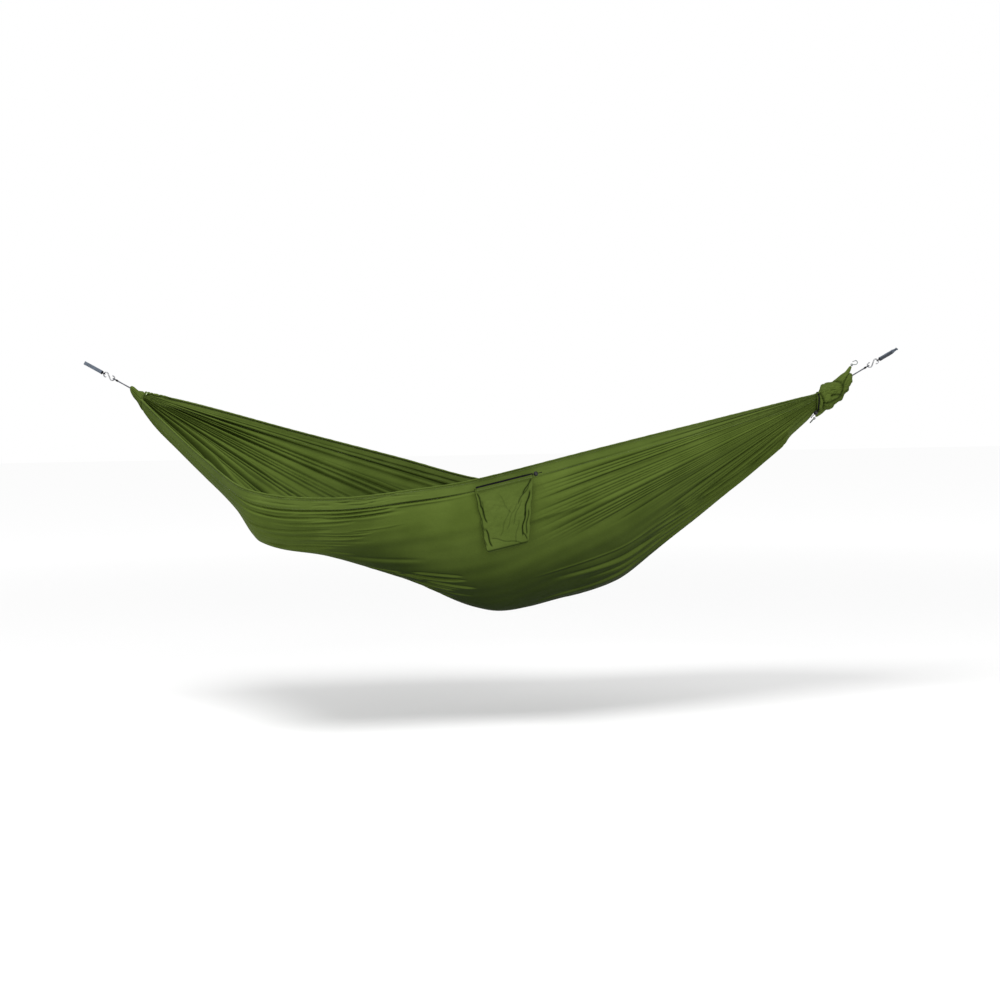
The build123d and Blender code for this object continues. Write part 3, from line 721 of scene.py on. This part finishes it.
def seam_stitches(name, points, column):
    """A row of stitches that follows a column of a cloth grid, on its outer side."""
    line = points[:, column]
    run = run_along(line)
    at = np.arange(SEAM_ENDS, run[-1] - SEAM_ENDS, SEAM_PITCH)
    places = at_runs(at, run, line)
    outs = at_runs(at, run, normals_of(points)[:, column])
    ways = np.gradient(places, axis=0)
    return [stitches(f"{name}_stitches_{label}", places + sign * SEAM_LIFT * outs, ways, sign * outs,
                     seam_thread, SEAM_STITCH) for label, sign in (("outer", -1), ("inner", 1))]


thread_rows = [
    *seam_stitches("front_seam", centre_points, 2), *seam_stitches("back_seam", centre_points, -3),
    *seam_stitches("front_hem", front_points, 5), *seam_stitches("back_hem", back_points, -6),
]


# ---- gathered noses ------------------------------------------------------------------
KNOB_RADIUS = 0.0195
KNOB_SHARE = 0.45         # of the nose's length, the round part
BIG_FOLDS, SMALL_FOLDS = 13, 31
NOSE_ROWS, NOSE_COLUMNS = 34, 168


def nose(name, x_base, tip):
    """The bunched end channel: folds run from the rope's exit out into the cloth."""
    ring = base_cloth(np.array([x_base]), np.linspace(0, 1, 121))[0][0]
    loop = np.vstack([ring, np.linspace(ring[-1], ring[0], 49)[1:]])
    run = run_along(loop)
    loop = at_runs(np.linspace(0, run[-1], NOSE_COLUMNS, endpoint=False), run, loop)
    tip, base = np.asarray(tip), loop.mean(0)
    spread_out = loop - base
    ring_way = spread_out / np.linalg.norm(spread_out, axis=1, keepdims=True)
    t = np.linspace(0, 1, NOSE_ROWS)
    angle = np.linspace(0, 1, NOSE_COLUMNS, endpoint=False)
    points = np.empty((NOSE_ROWS, NOSE_COLUMNS, 3))
    for k, along in enumerate(t):
        bulb = KNOB_RADIUS * math.sqrt(1 - (1 - min(1, along / KNOB_SHARE)) ** 2) + 0.0006
        opened = float(ramp(KNOB_SHARE, 1.0, along))
        shape = (1 - opened) * ring_way * bulb + opened * spread_out
        fold = 0.0022 * (np.abs(np.sin(math.pi * BIG_FOLDS * angle + 0.6 * along)) ** 0.6 - 0.6)
        fold += 0.0009 * np.sin(2 * math.pi * SMALL_FOLDS * angle + 2.0 * along)
        points[k] = tip + (base - tip) * along + shape + ring_way * (
            fold * min(1, 0.35 + 2 * along))[:, None]
    # painted shade in the valleys between the big folds
    big_fold_ridges = np.abs(np.sin(math.pi * BIG_FOLDS * angle)) ** 0.6
    shade_here = np.clip(1 - 1.3 * big_fold_ridges, 0, 1)[None] + 0 * t[:, None]
    uv = np.stack(np.meshgrid(t * 0.04, angle * 0.3, indexing="ij"), -1)
    return grid(name, points, band_green, uv, True, shade_here, capped=True)


TIP_X, TIP_Z = 0.1660, -0.0985
LEFT_BASE, RIGHT_BASE = 0.2135, 2.7765
left_nose = nose("left_end_nose", LEFT_BASE, (TIP_X, 0, TIP_Z))
right_nose = nose("right_end_nose", RIGHT_BASE, (SPAN - TIP_X, 0, TIP_Z))
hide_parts("left_end_channel")
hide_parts("right_end_channel")


# ---- suspension ----------------------------------------------------------------------
SLOPE = math.radians(30)
C, S = math.cos(SLOPE), math.sin(SLOPE)


def on_line(points, side):
    """From (along, in-plane up, towards the viewer) on a hanging line, mm, to the row frame."""
    p = np.asarray(points, float) * MM
    x = p[..., 0] * C + p[..., 1] * S
    z = -p[..., 0] * S + p[..., 1] * C
    x = x if side == "left" else SPAN - x
    return np.stack([x, -p[..., 2], z], -1)


def line_up(side):
    return on_line([(0, 1000, 0)], side)[0]


EYE_TURN = 5.0            # mm, from the anchor pin's middle to the middle of the webbing
BOX_STITCH = 1.7          # mm between stitches of the sewn boxes
LOOP_CENTRE, LOOP_RADIUS, LOOP_WEB = 83.5, 4.8, 1.52     # mm, the bunched loop
EYE_CREST, ROPE_EYE = 126.5, 4.7                         # mm, the rope's eye on the hook
WHIPPING_RUN = (133.9, 141.6)


def strap_path():
    """Centre of the webbing: from its folded end, round the anchor eye, and out to the loop."""
    around = [(-EYE_TURN * math.cos(a), 0, EYE_TURN * math.sin(a))
              for a in np.radians(np.linspace(-128, -232, 15))]
    inner = [(30, 0, -0.85), (24, 0, -0.85), (18, 0, -0.9), (11, 0, -1.9)]
    outer = [(11, 0, 1.9), (18, 0, 0.75), (26, 0, 0.55), (40, 0, 0.0), (52, 0, 0.25),
             (64, 0, -0.1), (77, 0, 0.0)]
    return smooth_path(inner + around + outer, 150)


def make_strap(side):
    places = on_line(strap_path(), side)
    width = np.linspace(12.0, 13.6, len(places))
    profile = np.stack([strip_profile(w * MM, 1.15 * MM) for w in width])[..., ::-1]
    return sweep(f"{side}_webbing", places, profile, line_up(side), grey_web)


for side_name, anchor in (("left", "left_anchor"), ("right", "right_anchor")):
    strap = make_strap(side_name)
    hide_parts(f"{side_name}_strap", f"{side_name}_strap_eye")
    start, end = on_line([(5, 0, 0), (16, 0, 0)], side_name)
    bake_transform(strap)

tail_points = [(24, -2.5, 1.9), (40, -2.7, 1.85), (58, -2.3, 1.95), (76, -2.6, 1.85)]
tail_section = strip_profile(10 * MM, 1.1 * MM)[:, ::-1]
strap_tail = sweep("right_webbing_tail", on_line(smooth_path(tail_points, 40), "right"),
                   tail_section, line_up("right"), dark_web)
hangs(strap_tail, "right_strap_tail")


def stitched_box(side, start, end, front):
    """A sewn box with a cross in it, on the near face of the webbing."""
    w = 4.6
    corners = [(start, -w), (end, -w), (end, w), (start, w), (start, -w), (end, w), (end, -w),
               (start, w)]
    places, ways = [], []
    for (x0, y0), (x1, y1) in zip(corners, corners[1:]):
        length = math.hypot(x1 - x0, y1 - y0)
        count = int(length / BOX_STITCH)
        for k in range(count):
            t = (k + 0.5) / count
            places.append((x0 + (x1 - x0) * t, y0 + (y1 - y0) * t, front))
            ways.append((x1 - x0, y1 - y0, 0))
    outs = [(0, 0, 1 if front > 0 else -1)] * len(places)
    name = f"{side}_strap_box_{'near' if front > 0 else 'far'}"
    origin = on_line([(0, 0, 0)], side)
    made = stitches(name, on_line(places, side), on_line(ways, side) - origin,
                    on_line(outs, side) - origin, seam_dark, 1.4 * MM, 0.22 * MM)
    hangs(made)


for side_name in ("left", "right"):
    stitched_box(side_name, 17, 29, 1.45)
    stitched_box(side_name, 17, 29, -1.5)


def bunched_loop(side):
    """The strap's end, folded narrow and looped round the hook's upper bow."""
    ring = [(LOOP_CENTRE + LOOP_RADIUS * math.cos(a), 0.25 * math.sin(2 * a), LOOP_RADIUS * math.sin(a))
            for a in np.linspace(0.86 * math.pi, -0.86 * math.pi, 21)]
    ends_in, ends_out = [(72, -0.8, 1.1), (76, -0.5, 1.3)], [(76, -0.4, -1.3), (72, -0.9, -1.1)]
    path = smooth_path(ends_in + ring + ends_out, 110)
    angle = np.arange(20) * 2 * math.pi / 20
    radius = LOOP_WEB * (1 + 0.10 * np.cos(5 * angle + 0.4))
    profile = np.stack([radius * np.cos(angle), 1.05 * radius * np.sin(angle)], 1) * MM
    return sweep(f"{side}_bunched_loop", on_line(path, side), profile, line_up(side), black_web)


def keeper(side):
    """Short folded sleeve of black webbing over the root of the loop."""
    path = on_line(smooth_path([(73.2, -0.2, 0), (75.5, -0.3, 0), (78.8, -0.3, 0)], 24), side)
    size = 1 + 0.06 * np.sin(np.linspace(0, 3.1, 24))
    section = strip_profile(12.6 * MM, 4.2 * MM)[:, ::-1]
    return sweep(f"{side}_loop_keeper", path, section, line_up(side), black_web, size)


for side_name in ("left", "right"):
    hangs(bunched_loop(side_name), f"{side_name}_strap_loop")
    hangs(keeper(side_name))


def rope(side):
    """Braided rope: an eye round the hook's lower bow and two strands side by side to the cloth."""
    eye = [(EYE_CREST + ROPE_EYE * math.cos(a), 0, ROPE_EYE * math.sin(a))
           for a in np.linspace(-0.12 * math.pi, -1.88 * math.pi, 31)]
    out = [(EYE_CREST + 7.5, 0, -2.5), (137, 0, -2.35), (150, 0.1, -2.3), (165, -0.1, -2.3),
           (180, 0.1, -2.3), (200, 0, -2.3)]
    back = [(x, -y, -z) for x, y, z in out][::-1]
    near = smooth_path(back + eye[::-1] + out, 260)
    angle = np.arange(18) * 2 * math.pi / 18
    run = np.linspace(0, 1, len(near))[:, None]
    plait = 0.10 * np.cos(6 * angle + 2 * math.pi * 26 * run) * np.cos(6 * angle - 2 * math.pi * 26 * run)
    radius = (2.18 + plait) * MM
    profile = np.stack([radius * np.cos(angle), radius * np.sin(angle)], -1)
    made = sweep(f"{side}_end_rope", on_line(near, side), profile, line_up(side), rope_grey)
    hangs(made, f"{side}_rope")


def whipping(side):
    """Turns of thin line bound round both strands behind the eye."""
    turns, steps = 8, 30
    a = np.linspace(0, turns * 2 * math.pi, turns * steps)
    along = WHIPPING_RUN[0] + (WHIPPING_RUN[1] - WHIPPING_RUN[0]) * a / a[-1]
    path = on_line(np.stack([along, 3.15 * np.sin(a), 5.55 * np.cos(a)], 1), side)
    way = on_line([(1000, 0, 0)], side)[0]
    made = sweep(f"{side}_whipping", path, circle(0.52 * MM, 8), way, black_cord)
    hangs(made, f"{side}_rope_whipping")


for side_name in ("left", "right"):
    rope(side_name)
    whipping(side_name)


def bartack(name, start, end, out, replaced):
    """Dense bar of satin stitches."""
    start, end, out = (np.asarray(p, float) for p in (start, end, out))
    way = end - start
    side = unit(np.cross(way, out))
    count = 13
    places = [start + way * (k + 0.5) / count for k in range(count)]
    made = stitches(name, places, [side] * count, [out] * count, light_thread, 3.4 * MM, 0.62 * MM)
    hangs(made, replaced)


TOWARDS_VIEWER = (0, -1, 0.1)
low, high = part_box("channel_bartack")
bartack("nose_bartack", (low.x, low.y, high.z), (high.x, low.y, low.z), TOWARDS_VIEWER, "channel_bartack")
low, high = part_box("rim_bartack")
bartack("back_rim_bartack", (low.x, low.y, low.z), (high.x, low.y, high.z), TOWARDS_VIEWER, "rim_bartack")

for piece in (centre, front_band, back_band, front_roll, back_roll, left_nose, right_nose, *thread_rows):
    hangs(piece)


# ---- stash pocket --------------------------------------------------------------------
POCKET_ORIGIN = np.array([1.531, -0.3777, -0.449])
POCKET_OUT = unit((0.182, -0.974, -0.10))
POCKET_X = unit(np.array((0.983, 0.184, 0)) - POCKET_OUT * np.dot((0.983, 0.184, 0), POCKET_OUT))
POCKET_UP = np.cross(POCKET_OUT, POCKET_X)
HALF_TOP, HALF_FOOT, DEPTH, FOOT_SHIFT = 102, 73, 232, 15
MOUTH_SLOPE = math.radians(12.5)
MOUTH_RISE = math.sin(MOUTH_SLOPE)


def on_pocket(points, origin=POCKET_ORIGIN, along=POCKET_X, up=POCKET_UP):
    """From (along, up, outward) on the pocket's plane, mm, to the row frame."""
    p = np.asarray(points, float) * MM
    return origin + p[..., :1] * along + p[..., 1:2] * up + p[..., 2:] * POCKET_OUT


# creases of the bag, mm: x0, y0, x1, y1, half width, depth
POCKET_FURROWS = [
    (-97, -34, -76, -84, 2.6, 2.6), (-84, -78, -58, -140, 2.4, 2.8), (-88, -110, -66, -170, 2.2, 2.0),
    (-66, -160, -40, -226, 2.6, 2.8), (-74, -196, -60, -224, 2.2, 1.8), (-80, -60, -70, -120, 1.8, 1.4),
    (94, 14, 66, -44, 2.6, 2.4), (88, -10, 46, -78, 2.2, 1.8), (90, -30, 70, -120, 2.8, 3.0),
    (74, -104, 64, -190, 2.6, 2.8), (86, -96, 78, -186, 2.2, 2.2), (66, -176, 84, -206, 2.2, 2.2),
    (60, -60, 30, -150, 1.8, 1.0), (44, -70, 8, -168, 1.8, 0.9), (20, -90, -14, -190, 1.8, 0.8),
    (52, -130, 40, -215, 1.8, 0.9), (-20, -40, 24, -110, 1.8, 0.7), (-46, -196, 66, -214, 2.2, 1.2),
]


def pocket_furrow(x, y, x0, y0, x1, y1, half_width, depth):
    """Depth of a straight crease at each place; it dies away at both ends."""
    long_x, long_y = x1 - x0, y1 - y0
    length = math.hypot(long_x, long_y)
    along = ((x - x0) * long_x + (y - y0) * long_y) / length
    bend = 2.5 * np.sin(along * 0.09)
    away = ((x - x0) * long_y - (y - y0) * long_x) / length + bend
    ends = ramp(-4, 10, along) * (1 - ramp(length - 10, length + 4, along))
    return depth * ends * np.exp(-(away / half_width) ** 2)


POCKET_FULL, BELLOWS, ROUNDING = 13.2, 8, 16     # mm: thickness, gusset fold, foot corners


def make_pocket():
    """Lofted bag: each ring runs round the back, a Z-folded gusset, the front, the other gusset."""
    rows = 150
    rings = []
    for b in np.linspace(0, 1, rows):
        half = HALF_TOP + (HALF_FOOT - HALF_TOP) * b - 1.5 * math.sin(math.pi * b)
        shift, down = FOOT_SHIFT * b, -DEPTH * b
        closing = math.sqrt(max(0.0, 1 - ((b - 0.9) / 0.1) ** 2)) if b > 0.9 else 1.0
        half -= 0.8 * ROUNDING * (1 - closing)
        swell = 0.75 + 0.25 * math.sin(math.pi * min(1, b * 1.1))
        full = POCKET_FULL * swell * (0.25 + 0.75 * closing)
        bellows = BELLOWS * math.sin(math.pi * (0.15 + 0.75 * b)) * closing
        half += 1.6 * math.sin(b * 26) * closing * math.sin(math.pi * b)
        front = [(x * half, full * (1 - 0.22 * abs(x) ** 3)) for x in np.linspace(-1, 1, 141)]
        right = [
            (half + 0.8, full * 0.70), (half - 0.35 * bellows, full * 0.62), (half - bellows, full * 0.50),
            (half - 0.35 * bellows, full * 0.36), (half + 1.5, full * 0.24), (half + 1.8, 1.0),
        ]
        back = [(x * half, 0.5) for x in np.linspace(1, -1, 31)]
        left = [(-x, z) for x, z in right[::-1]]
        loop = np.array(front + right + back + left)
        rings.append([(x + shift, down + x * MOUTH_RISE, z) for x, z in loop])
    rings = np.array(rings)
    b = np.linspace(0, 1, rows)[:, None]
    x, y = rings[..., 0], rings[..., 1]
    near = ramp(2, 9, rings[..., 2])
    z_flat = rings[..., 2].copy()
    plane = np.stack([x / 100, y / 100], -1)
    wave = 1.5 * soft_noise(plane, 1.4, 21, 3) + 0.5 * soft_noise(plane * (3.2, 1.1), 1.8, 22, 2)
    furrows = sum(pocket_furrow(x, y, *line) for line in POCKET_FURROWS)
    tuck = -1.6 * np.exp(-((b - 0.045) / 0.02) ** 2)
    rim_shadow = np.exp(-((b - 0.975) / 0.016) ** 2)
    rings[..., 2] += near * (wave + tuck) * np.sin(math.pi * np.clip(b * 1.05 + 0.06, 0, 1))
    rings[..., 2] -= near * furrows
    rings[..., 2] = np.clip(rings[..., 2], 0.2, 17.5)
    uv = np.stack([x, y], -1) * MM
    shadow = near * furrows / 2.6 + 0.9 * rim_shadow + 0.8 * (1 - ramp(2, 5, z_flat))
    return grid("pocket_bag", on_pocket(rings), band_green, uv, True, np.clip(shadow, 0, 1))


bag = make_pocket()
hangs(bag, "stash_pocket")

CORD_UP, CORD_OUT = 3.5, 12.6      # mm, the drawcord's axis from the mouth's middle
MOUTH_X = math.cos(MOUTH_SLOPE) * POCKET_X + math.sin(MOUTH_SLOPE) * POCKET_UP
MOUTH_UP = np.cross(POCKET_OUT, MOUTH_X)


def on_mouth(points):
    """From the drawcord's axis, measured from the middle of the mouth, mm."""
    middle = POCKET_ORIGIN + CORD_UP * MM * MOUTH_UP + CORD_OUT * MM * POCKET_OUT
    return on_pocket(points, middle, MOUTH_X, MOUTH_UP)


def make_hem():
    """Turned-over hem, gathered a little on its cord, with a flap down to the stitch line."""
    count = 320
    along = np.linspace(-100, 100, count)
    angle = np.linspace(-0.25 * math.pi, 1.45 * math.pi, 22)
    ruche = 0.28 * np.sin(along * 0.55) + 0.22 * np.sin(along * 0.21 + 1.0)
    radius = 3.05 + 0.25 * ruche[:, None] * np.cos(angle - 0.6)[None]
    up = radius * np.sin(angle)[None]
    out = radius * np.cos(angle)[None]
    skirt = np.linspace(0, 1, 10)[1:]
    end_up, end_out = up[:, :1], out[:, :1]
    up = np.concatenate([(end_up - 9 * skirt[None])[:, ::-1], up], 1)
    out = np.concatenate([(end_out * (1 - 0.5 * skirt[None]) - 0.4 * skirt[None])[:, ::-1], out], 1)
    points = np.stack([along[:, None] + 0 * up, up, out], -1)
    uv = np.stack([points[..., 0], np.cumsum(np.full(up.shape, 0.9), 1)], -1) * MM
    return grid("pocket_mouth_hem", on_mouth(points), band_green, uv)


hem = make_hem()
hangs(hem, "pocket_hem")
hem_line = on_mouth([(x, -7.2, 3.4) for x in np.arange(-97, 98, 3.4)])
count = len(hem_line)
hem_rows = stitches("pocket_hem_stitches", hem_line, [MOUTH_X] * count, [POCKET_OUT] * count,
                    seam_thread, 2.4 * MM, 0.3 * MM)
hangs(hem_rows)


def knot(name, centre, way, radius, material):
    """Overhand knot: a short cord wound in a trefoil."""
    t = np.linspace(0, 2 * math.pi, 90)
    a = np.stack([
        np.sin(t) + 1.7 * np.sin(2 * t), np.cos(t) - 1.7 * np.cos(2 * t), -1.2 * np.sin(3 * t)], 1)
    a *= radius * 0.42 / 1.9
    way = unit(way)
    side = unit(np.cross(way, (0.3, 0.1, 0.95)))
    up = np.cross(side, way)
    path = np.asarray(centre) + a[:, :1] * side + a[:, 1:2] * up + a[:, 2:] * way
    return sweep(name, path, circle(radius * 0.42, 10), way + 0.01 * side, material)


cord_points = [(-98, 0, 0), (-50, 0.1, 0), (0, 0, 0), (50, 0.1, 0), (99, 0, 0), (107, 0, 0),
               (120, 0, 0), (132, 0, 0)]
cord_path = on_mouth(smooth_path(cord_points, 160))
drawcord = sweep("pocket_drawcord_braid", cord_path, circle(1.15 * MM, 12), POCKET_OUT, black_cord)
hangs(drawcord, "pocket_drawcord")
KNOT_RADIUS = 2.6 * MM
pocket_knot = knot("pocket_cord_knot", on_mouth([(133.5, 0, 0)])[0], MOUTH_X, KNOT_RADIUS, black_cord)
hangs(pocket_knot)
binding_points = [(-101, 3.0, 2.2), (-60, 3.3, 2.4), (-15, 3.1, 2.6), (40, 3.4, 2.4),
                  (82, 3.1, 2.2), (103, 2.2, 1.6)]
binding = sweep("pocket_mouth_binding", on_mouth(smooth_path(binding_points, 120)),
                strip_profile(6.6 * MM, 2.2 * MM), POCKET_OUT, elastic_black)
hangs(binding)


# ---- storage sleeve pushed back over the right end ------------------------------------
SLEEVE_LINE = [
    # centre x, z, lean in degrees, half height, half depth
    (2686, -193, 0, 34, 31), (2694, -191, 2, 35, 32), (2704, -186, 8, 37, 35), (2716, -177, 18, 42, 38),
    (2732, -166, 26, 42, 38), (2748, -156, 34, 38, 37), (2764, -147, 40, 35, 34), (2780, -134, 42, 31, 30),
    (2793, -118, 42, 27, 26), (2802, -106, 40, 23, 22), (2808, -99, 38, 17, 18), (2811, -97, 38, 9, 10),
]
# deep folds of the bundle: share along it and degrees round it (0 near side, 90 top)
SLEEVE_GROOVES = [
    ((0.52, 130), (0.60, 70), (0.64, 30), (0.62, -5), (0.52, -35)),
    ((0.15, 100), (0.17, 40), (0.20, 0), (0.17, -60), (0.20, -110)),
    ((0.20, -20), (0.34, -35), (0.46, -42), (0.58, -60)), ((0.38, -8), (0.46, -20), (0.50, -34)),
    ((0.66, 10), (0.78, 22), (0.90, 30)), ((0.60, -40), (0.70, -70), (0.72, -110)),
    ((0.34, -70), (0.42, -90), (0.48, -130)), ((0.22, 160), (0.35, 190), (0.50, 170)),
    ((0.60, 160), (0.75, 200), (0.85, 230)),
]
BUNDLE_LENGTH, BUNDLE_RADIUS = 0.150, 0.036


GROOVE_WIDTH = 3.6 * MM


def sleeve_groove(t, theta, *points):
    """1 in the middle of a fold that runs through the points, falling off to its sides."""
    turn = np.radians([a for _, a in points])
    line = smooth_path(np.stack([[k for k, _ in points], turn], 1), 24)
    nearest = np.full(np.broadcast(t, theta).shape, 1.0)
    for share_along, angle in line:
        aside = (theta - angle + math.pi) % (2 * math.pi) - math.pi
        away = np.hypot((t - share_along) * BUNDLE_LENGTH, aside * BUNDLE_RADIUS)
        nearest = np.minimum(nearest, away)
    return np.exp(-(nearest / GROOVE_WIDTH) ** 2)


def make_sleeve():
    rows, columns = 170, 220
    line = smooth_path(SLEEVE_LINE, rows)
    theta = np.linspace(0, 2 * math.pi, columns, endpoint=False)[None]
    x, z, lean, high, deep = (line[:, k, None] for k in range(5))
    lean = np.radians(lean)
    t = np.linspace(0, 1, rows)[:, None]
    twist = theta + 1.1 * t
    around = np.stack([np.cos(theta) + 0 * t, np.sin(theta) + 0 * t, 2.6 * t + 0 * theta], -1)
    bulge = soft_noise(around, 0.45, 31, 3)
    crinkle = soft_noise(around * (1.0, 1.0, 1.6), 1.5, 32, 3)
    folds = np.abs(np.sin(3.0 * twist + 1.3 * np.sin(4 * t) + 0.9 * bulge)) ** 0.6
    small = np.abs(np.sin(7.0 * twist + 2.4 * crinkle + 2.0 * bulge)) ** 0.8
    grooves = sum(sleeve_groove(t, theta, *line) for line in SLEEVE_GROOVES)
    wing = ramp(0.45, 0.6, t)
    grow = 1.04 + 0.10 * bulge + 0.05 * crinkle + 0.07 * (1 - 0.4 * wing) * (folds - 0.7)
    grow += 0.06 * (small - 0.6) - 0.20 * np.clip(grooves, 0, 1)
    low_side = np.clip(-np.sin(theta), 0, 1)
    ragged = 0.07 * np.sin(34 * t + 2 * theta) * ramp(0.1, 0.3, t)
    grow -= low_side * (0.16 * window(0.42, 0.62, 0.92, 1.0, t) - ragged)
    cuff = ramp(0.03, 0.12, t)
    grow = grow * cuff + (1 - cuff) * (0.97 + 0.04 * (folds - 0.5))
    a = high * grow * np.sin(theta)
    b = deep * grow * np.cos(theta)
    points = np.stack([x - a * np.sin(lean), -b + 0 * t, z + a * np.cos(lean)], -1) * MM
    # painted shade in the deep grooves and in the valleys of the big and small folds
    small_fold_shade, big_fold_shade = np.clip(0.7 - 1.2 * small, 0, 1), np.clip(0.5 - folds, 0, 1)
    dark = np.clip(0.60 * grooves + 0.55 * small_fold_shade + 0.4 * big_fold_shade, 0, 1)
    uv = np.stack([t * 0.22 + 0 * theta, theta / (2 * math.pi) * 0.26 + 0 * t], -1)
    return grid("sleeve_bundle", points, sleeve_green, uv, True, dark, capped=True)


def fold_horn(name, start, end, radius, tip_radius, seed):
    """A twisted fold of the sleeve that runs out to a small hook's loop."""
    rows, columns = 60, 72
    start, end = np.asarray(start) * MM, np.asarray(end) * MM
    t = np.linspace(0, 1, rows)
    bow = 0.004 * np.sin(math.pi * t)
    path = start + (end - start) * t[:, None] + bow[:, None] * np.array([0.2, -0.6, -0.3])
    theta = np.arange(columns) * 2 * math.pi / columns
    size = (radius + (tip_radius - radius) * t**0.8) * MM
    folds = np.abs(np.sin(3.5 * theta[None] + 4.5 * t[:, None] + seed)) ** 0.6
    shape = (1 + 0.22 * (folds - 0.65)) * (1 + 0.05 * np.sin(9 * t[:, None] + seed))
    rounded = np.sqrt(np.clip(1 - ramp(0.93, 1.0, t) ** 2, 0.05, 1))
    r = (size * rounded)[:, None] * shape
    profile = np.stack([r * np.cos(theta), r * np.sin(theta)], -1)
    return sweep(name, path, profile, (0.1, 1, 0.05), sleeve_green)


sleeve = make_sleeve()
upper_horn = fold_horn("sleeve_upper_fold", (2783, 0, -108), (2813.5, 0, -62), 15.5, 3.6, 0.4)
lower_horn = fold_horn("sleeve_lower_fold", (2722, 0, -200), (2682.5, 0, -245), 17, 3.8, 1.9)
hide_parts("storage_sleeve")
for piece in (sleeve, upper_horn, lower_horn):
    hangs(piece)


def make_elastic():
    """Ribbed elastic round the cuff, drawn a little uneven."""
    angle = np.linspace(0, 2 * math.pi, 260)
    deep, high = 33.0 + 0.5 * np.sin(3 * angle), 36.0 + 0.5 * np.cos(2 * angle)
    path = np.stack([2689.6 + 0.8 * np.sin(angle) + 0.5 * np.sin(5 * angle), -deep * np.cos(angle),
                     -190 + high * np.sin(angle)], 1) * MM
    middle = np.array([2.690, 0, -0.190])
    out = path - middle
    out[:, 0] = 0
    profile = strip_profile(5.4 * MM, 1.8 * MM)
    ribs = 1 + 0.03 * np.sin(angle * 90)
    return sweep("sleeve_elastic_band", path, profile, out, elastic_black, ribs, capped=False)


elastic = make_elastic()
hangs(elastic, "sleeve_elastic")
TAIL_START, TAIL_WAY = np.array([2.691, -0.022, -0.219]), unit((-0.72, -0.10, -0.687))
tail_line = TAIL_START + np.linspace(-0.004, 0.039, 50)[:, None] * TAIL_WAY
tail = sweep("sleeve_elastic_tail", tail_line, circle(1.25 * MM, 12), (0, 1, 0.1), black_cord)
hangs(tail)
TAIL_KNOT_AT = 40.5 * MM
tail_knot = knot("sleeve_tail_knot", TAIL_START + TAIL_KNOT_AT * TAIL_WAY, TAIL_WAY,
                 KNOT_RADIUS, black_cord)
hangs(tail_knot)


# ---- springs inside the two cord locks -----------------------------------------------
SPRING_RADIUS, SPRING_WIRE, SPRING_TURNS = 3.2 * MM, 0.22 * MM, 2.26
SPRING_LENGTH = 1.92 * MM        # the wire's centre line, end to end


def coil_spring(name, node, lock, way):
    """Coil between the lock's floor and its plunger."""
    low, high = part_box(node)
    middle = np.array((low + high) / 2)
    way = unit(np.array(way, float))
    side = unit(np.cross(way, (0, 0, 1)))
    up = np.cross(side, way)
    angle = np.linspace(0, SPRING_TURNS * 2 * math.pi, 64)
    run = (angle / angle[-1] - 0.5) * SPRING_LENGTH
    around = np.cos(angle)[:, None] * side + np.sin(angle)[:, None] * up
    path = middle + run[:, None] * way + SPRING_RADIUS * around
    made = sweep(name, path, circle(SPRING_WIRE, 8), way, spring_steel)
    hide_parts(node)
    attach(made, lock)
    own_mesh(made)


coil_spring("pocket_lock_coil", "pocket_lock_spring", "pocket_lock",
            (0.182751, -0.978018, -0.100413))
coil_spring("sleeve_lock_coil", "sleeve_lock_spring", "sleeve_lock",
            (0.137676, -0.990477, 0.0))


# ---- studio --------------------------------------------------------------------------
FLOOR_Z = cad_box[0].z - 0.42
FLOOR_REACH = 9.0
bpy.ops.mesh.primitive_plane_add(size=60, location=(SPAN / 2, 6, FLOOR_Z))
floor = bpy.context.object
floor.name = "studio_floor"
floor_shader = Shader("pale_floor", roughness=0.9, specular=0.0)
# painted shade: the floor is darker round the middle, under the hammock, and pale far off
shrink = floor_shader.coordinate("Object", (1 / FLOOR_REACH, 1 / FLOOR_REACH, 1))
shrink.inputs["Location"].default_value = (0, 6 / FLOOR_REACH, 0)
distance = floor_shader.node("TexGradient", gradient_type="SPHERICAL")
floor_shader.link(shrink, "Vector", distance, "Vector")
floor_shader.colour((0.97, 0.97, 0.97), (0.76, 0.76, 0.76), distance, span=(0.05, 0.75))
paint(floor, floor_shader.material)
floor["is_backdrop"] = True

world = bpy.data.worlds.new("studio")
world.use_nodes = True
background = world.node_tree.nodes["Background"]
background.inputs["Color"].default_value = (1, 1, 1, 1)
background.inputs["Strength"].default_value = 1.0
bpy.context.scene.world = world


def soft_light(name, place, target, size, power):
    data = bpy.data.lights.new(name, "AREA")
    data.shape = "DISK"
    data.size = size
    data.energy = power
    light = bpy.data.objects.new(name, data)
    bpy.context.scene.collection.objects.link(light)
    light.location = place
    light.rotation_euler = (Vector(target) - Vector(place)).to_track_quat("-Z", "Y").to_euler()


middle = (SPAN / 2, 0, -0.5)
soft_light("key", (0.2, -2.6, 3.2), middle, 1.8, 190)
soft_light("fill", (4.4, -3.6, 1.4), middle, 2.2, 60)

boxes = {"cad": cad_box, "visual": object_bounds()}
{k: [list(a), list(b)] for k, (a, b) in boxes.items()}
